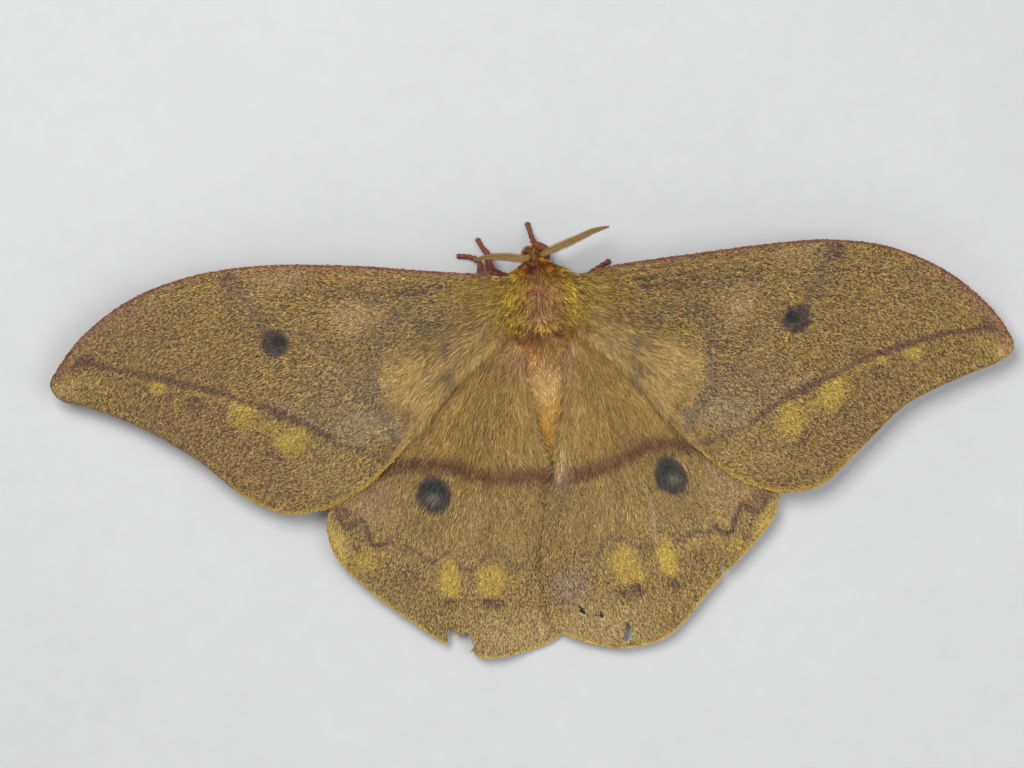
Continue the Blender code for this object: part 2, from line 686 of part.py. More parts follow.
def build():
    """Model the whole moth."""
    for old in list(bpy.data.objects):
        bpy.data.objects.remove(old)
    carrier = bpy.data.objects.new("moth", None)
    bpy.context.scene.collection.objects.link(carrier)
    gold_fur = finish_material("gold_fur", (0.36, 0.20, 0.05), 0.9)
    pale_fur = finish_material("pale_fur", (0.55, 0.30, 0.13), 0.9)
    wing_scales = finish_material("wing_scales", (0.30, 0.18, 0.06), 0.85)
    feeler = finish_material("feeler", (0.36, 0.23, 0.07), 0.7)
    leg_fur = finish_material("leg_fur", (0.27, 0.08, 0.045), 0.85)
    eye_gloss = finish_material("eye_gloss", (0.02, 0.012, 0.008), 0.25)

    finish(thorax(), (0.0, 0.0, 6.6), gold_fur, carrier)
    finish(trunk("abdomen", ABDOMEN_STATIONS, ABDOMEN_STEP), (0.0, -9.7, 5.1), pale_fur, carrier)
    finish(head(), HEAD_CENTRE, gold_fur, carrier)
    for side, sign in (("left", -1), ("right", 1)):
        eye = ball("eye_" + side, eye_centre(sign), Vector([EYE_RADIUS] * 3), EYE_SIDES, EYE_LEVELS)
        finish(eye, eye_centre(sign), eye_gloss, carrier)
        finish(antenna(side), ANTENNA_PATHS[side][0], feeler, carrier)
    for name, shape in WINGS.items():
        root = (*shape.root, WING_HEIGHTS[name](*shape.root))
        finish(wing(name), root, wing_scales, carrier)
    for name, path in LEG_PATHS.items():
        finish(leg(name), path[0], leg_fur, carrier)


build()
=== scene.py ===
"""A giant silk moth at rest with its wings spread flat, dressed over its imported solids.

Sizes are in millimetres from the middle of the thorax, with the head towards +Y, and a finished
mesh is moved to the part's own frame in metres. The wings' outlines, heights and veins repeat the
part's named values. Scales and fur are small closed tufts joined into a few coats.
"""

from __future__ import annotations

import logging
import math
from collections.abc import Callable
from dataclasses import dataclass, field
from enum import Enum

import bmesh
import bpy
import numpy as np
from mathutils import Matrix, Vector

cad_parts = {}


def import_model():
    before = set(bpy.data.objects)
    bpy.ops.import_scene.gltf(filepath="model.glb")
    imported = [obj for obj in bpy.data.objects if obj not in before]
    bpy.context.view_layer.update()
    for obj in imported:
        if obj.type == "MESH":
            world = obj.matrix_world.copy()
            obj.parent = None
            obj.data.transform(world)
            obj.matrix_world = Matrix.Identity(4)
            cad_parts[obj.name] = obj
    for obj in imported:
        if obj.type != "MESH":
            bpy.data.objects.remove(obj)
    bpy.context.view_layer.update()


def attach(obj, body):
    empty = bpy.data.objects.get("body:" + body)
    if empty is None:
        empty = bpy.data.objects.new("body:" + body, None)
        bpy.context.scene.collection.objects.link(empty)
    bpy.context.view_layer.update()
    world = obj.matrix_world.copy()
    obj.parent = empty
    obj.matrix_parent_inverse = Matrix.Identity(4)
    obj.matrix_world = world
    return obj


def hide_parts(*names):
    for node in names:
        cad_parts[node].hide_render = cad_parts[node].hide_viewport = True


LOG = logging.getLogger("moth")
MILLIMETRE = 0.001
BODY_SHIFT = np.array((2.0, 21.35, 0.0))
UP = (0.0, 0.0, 1.0)
BAKE_PATCH, FLOOR_GAP = 0.003, 0.05
NOISE_CELLS, CURVE_STEPS = 64, 25

Tone = tuple[float, float, float]
Line = tuple[tuple[float, ...], ...]
Measure = Callable[[np.ndarray], np.ndarray]


class Side(Enum):
    """The moth's own left is at -X."""

    LEFT = -1.0
    RIGHT = 1.0


class Layer(Enum):
    """Which pair of wings."""

    FORE = "forewing"
    HIND = "hindwing"


# Plain helpers for numbers and lines


def smooth_step(value: np.ndarray) -> np.ndarray:
    """Ease each value from 0 to 1."""
    eased = np.clip(value, 0.0, 1.0)
    return eased * eased * (3.0 - 2.0 * eased)


def linear_tone(tone: np.ndarray) -> np.ndarray:
    """Turn tones of 0 to 255 as an eye names them into the linear values that a mesh stores."""
    share = np.clip(np.asarray(tone, float) / 255.0, 0.0, 1.0)
    return np.where(share <= 0.04045, share / 12.92, ((share + 0.055) / 1.055) ** 2.4)


def smooth_line(points: Line, count: int) -> np.ndarray:
    """Give evenly spaced points on a smooth line.

    Args:
        points: the places that the line passes through.
        count: how many points to return.

    Returns:
        An array of count rows.
    """
    knots = np.asarray(points, float)
    if len(knots) == 2:
        return knots[0] + (knots[1] - knots[0]) * np.linspace(0.0, 1.0, count)[:, None]
    knots = np.vstack((2.0 * knots[0] - knots[1], knots, 2.0 * knots[-1] - knots[-2]))
    fine = [knots[1][None, :]]
    for a, b, c, d in zip(knots, knots[1:], knots[2:], knots[3:]):
        t1 = math.sqrt(np.linalg.norm(b - a))
        t2 = t1 + math.sqrt(np.linalg.norm(c - b))
        t3 = t2 + math.sqrt(np.linalg.norm(d - c))
        t = np.linspace(t1, t2, CURVE_STEPS)[1:, None]
        ab = a + (b - a) * t / t1
        bc = b + (c - b) * (t - t1) / (t2 - t1)
        cd = c + (d - c) * (t - t2) / (t3 - t2)
        first = ab + (bc - ab) * t / t2
        last = bc + (cd - bc) * (t - t1) / (t3 - t1)
        fine.append(first + (last - first) * (t - t1) / (t2 - t1))
    track = np.vstack(fine)
    walked = np.concatenate(([0.0], np.cumsum(np.linalg.norm(np.diff(track, axis=0), axis=1))))
    stops = np.linspace(0.0, walked[-1], count)
    return np.stack([np.interp(stops, walked, track[:, axis]) for axis in range(track.shape[1])], axis=1)


def line_distance(places: np.ndarray, line: np.ndarray) -> np.ndarray:
    """Distance from each place to a line of straight stretches, seen from above.

    Args:
        places: rows of x, y.
        line: its corners in order.

    Returns:
        One distance for each place.
    """
    nearest = np.full(len(places), 1e9)
    for start, end in zip(line, line[1:]):
        run = end - start
        share = np.clip((places - start) @ run / max(run @ run, 1e-12), 0.0, 1.0)
        gap = places - start - share[:, None] * run
        nearest = np.minimum(nearest, np.einsum("ij,ij->i", gap, gap))
    return np.sqrt(nearest)


def inside_loop(places: np.ndarray, loop: np.ndarray) -> np.ndarray:
    """Say for each place whether a closed outline goes round it.

    Args:
        places: rows of x, y.
        loop: the outline's points in order.

    Returns:
        True where it does.
    """
    x, y = places[:, 0], places[:, 1]
    held = np.zeros(len(places), bool)
    for (ax, ay), (bx, by) in zip(loop, np.roll(loop, -1, axis=0)):
        crosses = (ay > y) != (by > y)
        rise = by - ay if by != ay else 1e-9
        held ^= crosses & (x < ax + (y - ay) * (bx - ax) / rise)
    return held


def drift(places: np.ndarray, size: float, seed: int) -> np.ndarray:
    """Smooth random values from -1 to 1.

    Args:
        places: rows of x, y.
        size: how far apart the values change, in millimetres.
        seed: which of the patterns.

    Returns:
        One value for each place.
    """
    table = np.random.default_rng(seed).uniform(-1.0, 1.0, (NOISE_CELLS,) * 2)
    spot = places[:, :2] / size + 1000.0
    cell = np.floor(spot).astype(int)
    share = smooth_step(spot - cell)
    x0, y0 = cell.T % NOISE_CELLS
    x1, y1 = (x0 + 1) % NOISE_CELLS, (y0 + 1) % NOISE_CELLS
    low = table[x0, y0] * (1 - share[:, 0]) + table[x1, y0] * share[:, 0]
    high = table[x0, y1] * (1 - share[:, 0]) + table[x1, y1] * share[:, 0]
    return low * (1 - share[:, 1]) + high * share[:, 1]


@dataclass
class Field:
    """Values on a square grid, read smoothly between its points."""

    low: np.ndarray
    step: float
    table: np.ndarray

    @classmethod
    def of(cls, measure: Measure, low: tuple[float, float], high: tuple[float, float],
           step: float = 0.2) -> Field:
        """Measure each point of a grid once.

        Args:
            measure: gives one value for each row of x, y.
            low: the grid's least x and y.
            high: its greatest x and y.
            step: how far apart its points are.

        Returns:
            The field.
        """
        grid = np.stack(np.meshgrid(*(np.arange(low[axis], high[axis] + step, step) for axis in range(2)),
                                    indexing="ij"), -1)
        return cls(np.array(low, float), step, measure(grid.reshape(-1, 2)).reshape(grid.shape[:2]))

    def at(self, places: np.ndarray) -> np.ndarray:
        """Values at places.

        Args:
            places: rows that start with x, y.

        Returns:
            One value for each place.
        """
        spot = (places[:, :2] - self.low) / self.step
        cell = np.clip(np.floor(spot).astype(int), 0, np.array(self.table.shape) - 2)
        part = np.clip(spot - cell, 0.0, 1.0)
        table, (i, j) = self.table, cell.T
        return ((table[i, j] * (1 - part[:, 0]) + table[i + 1, j] * part[:, 0]) * (1 - part[:, 1])
                + (table[i, j + 1] * (1 - part[:, 0]) + table[i + 1, j + 1] * part[:, 0]) * part[:, 1])


def unit(rows: np.ndarray) -> np.ndarray:
    """Scale each row to length one."""
    return rows / np.maximum(np.linalg.norm(rows, axis=-1, keepdims=True), 1e-9)


def leftwards(along: np.ndarray) -> np.ndarray:
    """The direction to the left of each direction, seen from above."""
    return np.column_stack((-along[:, 1], along[:, 0]))


def turned(along: np.ndarray, turn: np.ndarray) -> np.ndarray:
    """Turn each direction to the left by its own angle, seen from above."""
    (x, y), cosine, sine = along.T, np.cos(turn), np.sin(turn)
    return np.column_stack((x * cosine - y * sine, x * sine + y * cosine))


def levelled(rows: np.ndarray, out: np.ndarray) -> np.ndarray:
    """Turn rows into the surface whose outward directions are given."""
    return unit(rows - out * np.einsum("ij,ij->i", rows, out)[:, None])


def mix(light: np.ndarray, dark: np.ndarray, share: np.ndarray) -> np.ndarray:
    """One tone for each place from its light tone, its dark tone and its share of light."""
    return light * share[:, None] + dark * (1 - share[:, None])


def lay_over(tones: np.ndarray, over: Tone, weight: np.ndarray) -> None:
    """Move tones towards another by a weight for each place."""
    tones += (np.array(over, float) - tones) * weight[:, None]


# Heights of the sheet that the wings follow, as in the part

EDGE_HEIGHT, RIDGE_RISE, SLOPE_REACH = 2.6, 5.6, 27.0
TAIL_LINE, SHOULDER_LINE = -58.0, -8.0
FORE_LIFT, HIND_DROP = 0.65, 0.65
DRAPE_RISE, DRAPE_REACH, UNDERLAP_DIP = 1.4, 5.0, 1.3
FORE_SINK = 0.72

# Membrane and veins: half thickness, the level that coats stand on, the veins' size and field, and how much
# darker the membrane is painted as shade under its coats

SKIN_HALF, COAT_FLOOR = 0.17, 0.2
VEIN_HEIGHT, VEIN_HALF, WING_LENGTH = 0.25, 0.5, 75.0
VEIN_FIELD = ((-80.0, -58.0), (2.0, 12.0))
MEMBRANE_SHADE = 0.82

# Coats of the wings: how roots spread, where few are needed, and how the under face differs

ROOT_JITTER, TEAR_AHEAD, TUCK_REACH = 0.0012, 0.6, 2.0
COVERED_MARGIN, COVERED_SHARE = 2.5, 0.06
STRAY_SHARE, FRINGE_HAIRS = 0.22, 3600
UNDER_LENGTH, UNDER_WIDTH = 1.45, 1.6

# How far each landmark pulls the marks of a right wing, and how exactly it is met

LANDMARK_REACH, LANDMARK_SLACK = 6.0, 0.05


def wing_height(places: np.ndarray, layer: Layer, side: Side) -> np.ndarray:
    """Height of the middle of a wing's sheet at each place.

    Args:
        places: rows of x, y.
        layer: forewing or hindwing.
        side: left or right.

    Returns:
        Heights in millimetres.
    """
    x, y = places[:, 0], places[:, 1]
    along = smooth_step((y - TAIL_LINE) / (SHOULDER_LINE - TAIL_LINE))
    tent = EDGE_HEIGHT + RIDGE_RISE * along / (1.0 + (x / SLOPE_REACH) ** 2)
    if layer is Layer.FORE:
        return tent + FORE_LIFT
    drape = smooth_step((-5.0 - y) / 4.0) * smooth_step((y + 46.0) / 16.0) * np.exp(-((x / DRAPE_REACH) ** 2))
    height = tent - HIND_DROP + DRAPE_RISE * drape
    if side is Side.LEFT:
        height = height - UNDERLAP_DIP * smooth_step((x + 10.0) / 6.0) * smooth_step((-19.0 - y) / 6.0)
    return height


# Meshes, coats and finishes


def stand(name: str, data: bpy.types.ID) -> bpy.types.Object:
    """Put a mesh, a light or a camera in the scene as an object.

    Args:
        name: what it is called.
        data: the mesh, light or camera.

    Returns:
        The object.
    """
    piece = bpy.data.objects.new(name, data)
    bpy.context.scene.collection.objects.link(piece)
    return piece


def to_object(name: str, bm: bmesh.types.BMesh) -> bpy.types.Object:
    """Make a smooth object of a mesh in millimetres, in the part's frame.

    Args:
        name: what it is called.
        bm: the mesh, which is freed.

    Returns:
        The object.
    """
    for face in bm.faces:
        face.smooth = True
    bmesh.ops.translate(bm, verts=bm.verts, vec=BODY_SHIFT)
    bmesh.ops.scale(bm, verts=bm.verts, vec=(MILLIMETRE,) * 3)
    mesh = bpy.data.meshes.new(name)
    bm.to_mesh(mesh)
    bm.free()
    return stand(name, mesh)


def paint(mesh: bpy.types.Mesh, tones: np.ndarray) -> None:
    """Store a tone of 0 to 255 for each corner point of a mesh, under the name Tone.

    Args:
        mesh: the mesh to paint.
        tones: a row for each of its points.
    """
    values = np.ones((len(mesh.vertices), 4), np.float32)
    values[:, :3] = linear_tone(tones)
    layer = mesh.color_attributes.new("Tone", "FLOAT_COLOR", "POINT")
    layer.data.foreach_set("color", values.ravel())


@dataclass
class Coat:
    """Many small closed tufts gathered for one mesh."""

    name: str
    points: list[np.ndarray] = field(default_factory=list)
    faces: list[np.ndarray] = field(default_factory=list)
    tones: list[np.ndarray] = field(default_factory=list)
    spots: list[np.ndarray] = field(default_factory=list)
    count: int = 0

    def add(self, shape: np.ndarray, pattern: np.ndarray, tone: np.ndarray, shade: np.ndarray,
            unwrap: np.ndarray, tile: np.ndarray) -> None:
        """Add tufts that share one layout of faces.

        Args:
            shape: tufts by points by x, y, z, in millimetres.
            pattern: faces of one tuft as rows of three points.
            tone: one tone for each tuft, 0 to 255.
            shade: brightness of each point of a tuft, as painted shade at the root and painted highlight at
                the tip.
            unwrap: each root's place on the unwrap of the skin.
            tile: each point's place in its tuft's small patch, from -0.5 to 0.5.
        """
        tufts, corners = shape.shape[:2]
        start = self.count + np.arange(tufts)[:, None, None] * corners
        self.points.append(shape.reshape(-1, 3))
        self.faces.append((start + pattern[None]).reshape(-1, 3))
        self.tones.append((tone[:, None, :] * shade[None, :, None]).reshape(-1, 3))
        self.spots.append((unwrap[:, None, :] + tile[None] * BAKE_PATCH).reshape(-1, 2))
        self.count += tufts * corners

    def build(self) -> bpy.types.Object:
        """Join the tufts to one object with its tones and its unwrap.

        Returns:
            The coat's object.
        """
        points = (np.vstack(self.points) + BODY_SHIFT) * MILLIMETRE
        faces = np.vstack(self.faces)
        mesh = bpy.data.meshes.new(self.name)
        mesh.vertices.add(len(points))
        mesh.vertices.foreach_set("co", points.astype(np.float32).ravel())
        mesh.loops.add(faces.size)
        mesh.loops.foreach_set("vertex_index", faces.astype(np.int32).ravel())
        mesh.polygons.add(len(faces))
        mesh.polygons.foreach_set("loop_start", np.arange(0, faces.size, 3, dtype=np.int32))
        mesh.update(calc_edges=True)
        paint(mesh, np.vstack(self.tones))
        spots = np.clip(np.vstack(self.spots), 0.0, 1.0)[faces.ravel()]
        mesh.uv_layers.new(name="OFBake").data.foreach_set("uv", spots.astype(np.float32).ravel())
        mesh.validate()
        return stand(self.name, mesh)


# Step for each next root that spreads roots evenly over a square
EVEN_STEPS = (0.7548776662466927, 0.5698402909980532)

# A flat scale: root, two sides and tip
KITE_FACES = np.array(((0, 3, 1), (0, 2, 3), (0, 1, 2), (1, 3, 2)))
# Painted shade at the root of each scale and a painted highlight at its tip
KITE_SHADE = np.array((0.8, 0.98, 0.98, 1.08))
KITE_TILE = np.array(((0.0, -0.5), (-0.5, 0.1), (0.5, 0.1), (0.0, 0.5)))

# A three-sided tuft: three points at the root, three where it bends, and the tip
HAIR_FACES = np.array(((0, 2, 1), (0, 1, 4), (0, 4, 3), (1, 2, 5), (1, 5, 4), (2, 0, 3), (2, 3, 5),
                       (3, 4, 6), (4, 5, 6), (5, 3, 6)))
# Painted shade at the three root points of each tuft and a painted highlight at its tip; the feelers'
# branches get a milder copy
HAIR_SHADE = np.array((0.62, 0.62, 0.62, 0.98, 0.98, 0.98, 1.16))
BRANCH_SHADE = np.array((0.84, 0.84, 0.84, 1.0, 1.0, 1.0, 1.08))
HAIR_TILE = np.array(((-0.4, -0.5), (0.4, -0.5), (0.0, -0.4), (-0.3, 0.1), (0.3, 0.1), (0.0, 0.1),
                      (0.0, 0.5)))
TUFT_BEND, TUFT_CREST = 0.72, 0.42


def kites(root: np.ndarray, left: np.ndarray, right: np.ndarray, tip: np.ndarray) -> np.ndarray:
    """Stack the four points of each flat scale."""
    return np.stack((root, left, right, tip), axis=1)


def hairs(root: np.ndarray, middle: np.ndarray, tip: np.ndarray, across: np.ndarray, up: np.ndarray,
          width: np.ndarray) -> np.ndarray:
    """Give the seven points of each three-sided tuft.

    Args:
        root: where each tuft starts.
        middle: where it bends.
        tip: where it ends in a point.
        across: unit vectors to the tuft's side.
        up: unit vectors away from the skin.
        width: the tuft's width at its root.

    Returns:
        Tufts by seven points by x, y, z.
    """
    half = across * width[:, None] * 0.5
    crest = up * width[:, None] * TUFT_CREST
    return np.stack((root + half, root - half, root + crest, middle + half * TUFT_BEND,
                     middle - half * TUFT_BEND, middle + crest * TUFT_BEND, tip), axis=1)


def node_group(name: str, inputs: dict[str, tuple[str, object]],
               outputs: dict[str, str]) -> bpy.types.NodeTree:
    """Make an empty shader group.

    Args:
        name: the group's name.
        inputs: for each input its kind of socket and its usual value.
        outputs: for each output its kind of socket.

    Returns:
        The group with its two end nodes.
    """
    group = bpy.data.node_groups.new(name, "ShaderNodeTree")
    for label, (kind, value) in inputs.items():
        socket = group.interface.new_socket(label, in_out="INPUT", socket_type=kind)
        if value is not None:
            socket.default_value = value
    for label, kind in outputs.items():
        group.interface.new_socket(label, in_out="OUTPUT", socket_type=kind)
    group.nodes.new("NodeGroupInput").name = "in"
    group.nodes.new("NodeGroupOutput").name = "out"
    return group


def fine_grain() -> bpy.types.NodeTree:
    """Group that varies a tone by two sizes of noise and gives a height for bump.

    Returns:
        The node group.
    """
    group = node_group("Fine grain", {
        "Tone": ("NodeSocketColor", (0.5, 0.4, 0.3, 1.0)), "Place": ("NodeSocketVector", None),
        "Size": ("NodeSocketFloat", 900.0), "Variation": ("NodeSocketFloat", 0.2),
        "Roughness": ("NodeSocketFloat", 0.6)},
        {"Tone": "NodeSocketColor", "Roughness": "NodeSocketFloat", "Height": "NodeSocketFloat"})
    nodes, links = group.nodes, group.links
    source, end = nodes["in"].outputs, nodes["out"].inputs

    def step(kind: str, values: dict[int | str, object], operation: str = "") -> bpy.types.NodeSocket:
        """Add a node with its inputs set or linked, and give its first output.

        Args:
            kind: the node's type.
            values: a number or a socket for each input.
            operation: what a math node works out.

        Returns:
            The first output.
        """
        node = nodes.new(kind)
        if operation:
            node.operation = operation
        for label, value in values.items():
            if isinstance(value, bpy.types.NodeSocket):
                links.new(value, node.inputs[label])
            else:
                node.inputs[label].default_value = value
        return node.outputs[0]

    wide = step("ShaderNodeMath", {0: source["Size"], 1: 0.12}, "MULTIPLY")
    coarse = step("ShaderNodeTexNoise", {"Vector": source["Place"], "Scale": wide, "Detail": 3.0})
    fine = step("ShaderNodeTexNoise", {"Vector": source["Place"], "Scale": source["Size"], "Detail": 2.0})
    both = step("ShaderNodeMath", {0: coarse, 1: fine}, "ADD")
    below = step("ShaderNodeMath", {0: 1.0, 1: source["Variation"]}, "SUBTRACT")
    above = step("ShaderNodeMath", {0: 1.0, 1: source["Variation"]}, "ADD")
    spread = step("ShaderNodeMapRange", {"Value": both, "From Min": 0.6, "From Max": 1.4, "To Min": below,
                                         "To Max": above})
    links.new(step("ShaderNodeVectorMath", {0: source["Tone"], "Scale": spread}, "SCALE"), end["Tone"])
    links.new(step("ShaderNodeMath", {0: source["Roughness"], 1: spread}, "MULTIPLY"), end["Roughness"])
    links.new(both, end["Height"])
    return group


@dataclass(frozen=True)
class Finish:
    """How a painted surface takes the light."""

    name: str
    slot: str
    grain: float
    variation: float
    roughness: float
    sheen: float
    bump: float = 0.0
    specular: float = 0.2
    coat: float = 0.0

    def material(self) -> bpy.types.Material:
        """Build the material, or give it again if it is there.

        Returns:
            The material.
        """
        known = bpy.data.materials.get(self.name)
        if known:
            return known
        finish = bpy.data.materials.new(self.name)
        finish.use_nodes = True
        nodes, links = finish.node_tree.nodes, finish.node_tree.links
        shader = nodes["Principled BSDF"]
        shader.inputs["Specular IOR Level"].default_value = self.specular
        shader.inputs["Sheen Weight"].default_value = self.sheen
        shader.inputs["Sheen Roughness"].default_value = 0.35
        shader.inputs["Coat Weight"].default_value = self.coat
        shader.inputs["Coat Roughness"].default_value = 0.08
        tone = nodes.new("ShaderNodeAttribute")
        tone.attribute_name = "Tone"
        place = nodes.new("ShaderNodeTexCoord")
        grain = nodes.new("ShaderNodeGroup")
        grain.node_tree = bpy.data.node_groups.get("Fine grain") or fine_grain()
        grain.inputs["Size"].default_value = self.grain
        grain.inputs["Variation"].default_value = self.variation
        grain.inputs["Roughness"].default_value = self.roughness
        links.new(tone.outputs["Color"], grain.inputs["Tone"])
        links.new(place.outputs["Object"], grain.inputs["Place"])
        links.new(grain.outputs["Tone"], shader.inputs["Base Color"])
        links.new(grain.outputs["Roughness"], shader.inputs["Roughness"])
        if self.bump:
            bump = nodes.new("ShaderNodeBump")
            bump.inputs["Strength"].default_value = self.bump
            bump.inputs["Distance"].default_value = 0.0001
            links.new(grain.outputs["Height"], bump.inputs["Height"])
            links.new(bump.outputs["Normal"], shader.inputs["Normal"])
        return finish

    def dress(self, piece: bpy.types.Object, *nodes: str) -> None:
        """Give a finished piece this finish, its body and the solids it stands for.

        Args:
            piece: the object to dress.
            nodes: names of the solids.
        """
        piece.data.materials.clear()
        piece.data.materials.append(self.material())
        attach(piece, "root")
        if nodes:
            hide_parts(*nodes)
        LOG.info("%s: %d faces", piece.name, len(piece.data.polygons))


WING_SKIN = Finish("Wing membrane", "wing_scales", 1500.0, 0.25, 0.6, 0.0, bump=0.6)
WING_SCALES = Finish("Wing scales", "wing_scales", 2600.0, 0.12, 0.6, 0.03)
WING_HAIR = Finish("Wing hair", "wing_scales", 2600.0, 0.12, 0.55, 0.04)

# Markings of the wings, in the left wing's places: where, how far, light and dark tone, share of light


@dataclass(frozen=True)
class Mark:
    """A spot or line where the scales' two tones and their mixture change."""

    places: Line
    reach: float
    light: Tone
    dark: Tone
    share: float
    strength: float = 1.0
    soft: float = 0.5
    stretch: tuple[float, float] = (1.0, 1.0)
    wobble: float = 0.25

    def weight(self, spots: np.ndarray) -> np.ndarray:
        """How much each place belongs to the mark, from 0 to 1.

        Args:
            spots: rows of x, y.

        Returns:
            One weight for each place.
        """
        squeeze = np.array(self.stretch)
        line = np.asarray(self.places, float) / squeeze
        if len(line) > 2:
            line = smooth_line(tuple(map(tuple, line)), 8 * len(line))
        scaled = spots / squeeze
        away = line_distance(scaled, line if len(line) > 1 else np.vstack((line, line + 1e-4)))
        away = away + self.reach * self.wobble * drift(spots, 1.1 + self.reach * 0.5, 5)
        edge = self.soft * self.reach
        return self.strength * smooth_step((self.reach * (1 + self.soft) - away) / (2 * edge))


@dataclass(frozen=True)
class Pattern:
    """The plain mixture of a wing and the marks laid over it in order."""

    light: Tone
    dark: Tone
    share: float
    marks: tuple[Mark, ...]

    def mixture(self, spots: np.ndarray, true: np.ndarray, own: tuple[Mark, ...]
                ) -> tuple[np.ndarray, np.ndarray, np.ndarray]:
        """Give the tones and the share of light scales.

        Args:
            spots: the places on the left wing that the marks are drawn for.
            true: where those places lie on the wing itself.
            own: marks of that wing alone.

        Returns:
            The light tone, the dark tone and the share of light scales at each place.
        """
        light = np.tile(np.array(self.light, float), (len(spots), 1))
        dark = np.tile(np.array(self.dark, float), (len(spots), 1))
        share = self.share + 0.06 * drift(spots, 6.0, 3) + 0.05 * drift(spots, 2.2, 4)
        for mark, places in [(mark, spots) for mark in self.marks] + [(mark, true) for mark in own]:
            weight = mark.weight(places)
            lay_over(light, mark.light, weight)
            lay_over(dark, mark.dark, weight)
            share += (mark.share - share) * weight
        return light, dark, np.clip(share, 0.0, 1.0)


GOLD, UMBER, LEMON = (200.0, 167.0, 88.0), (106.0, 78.0, 46.0), (218.0, 183.0, 82.0)
PLUM, SLATE, OCHRE = (98.0, 71.0, 57.0), (98.0, 85.0, 72.0), (152.0, 122.0, 58.0)

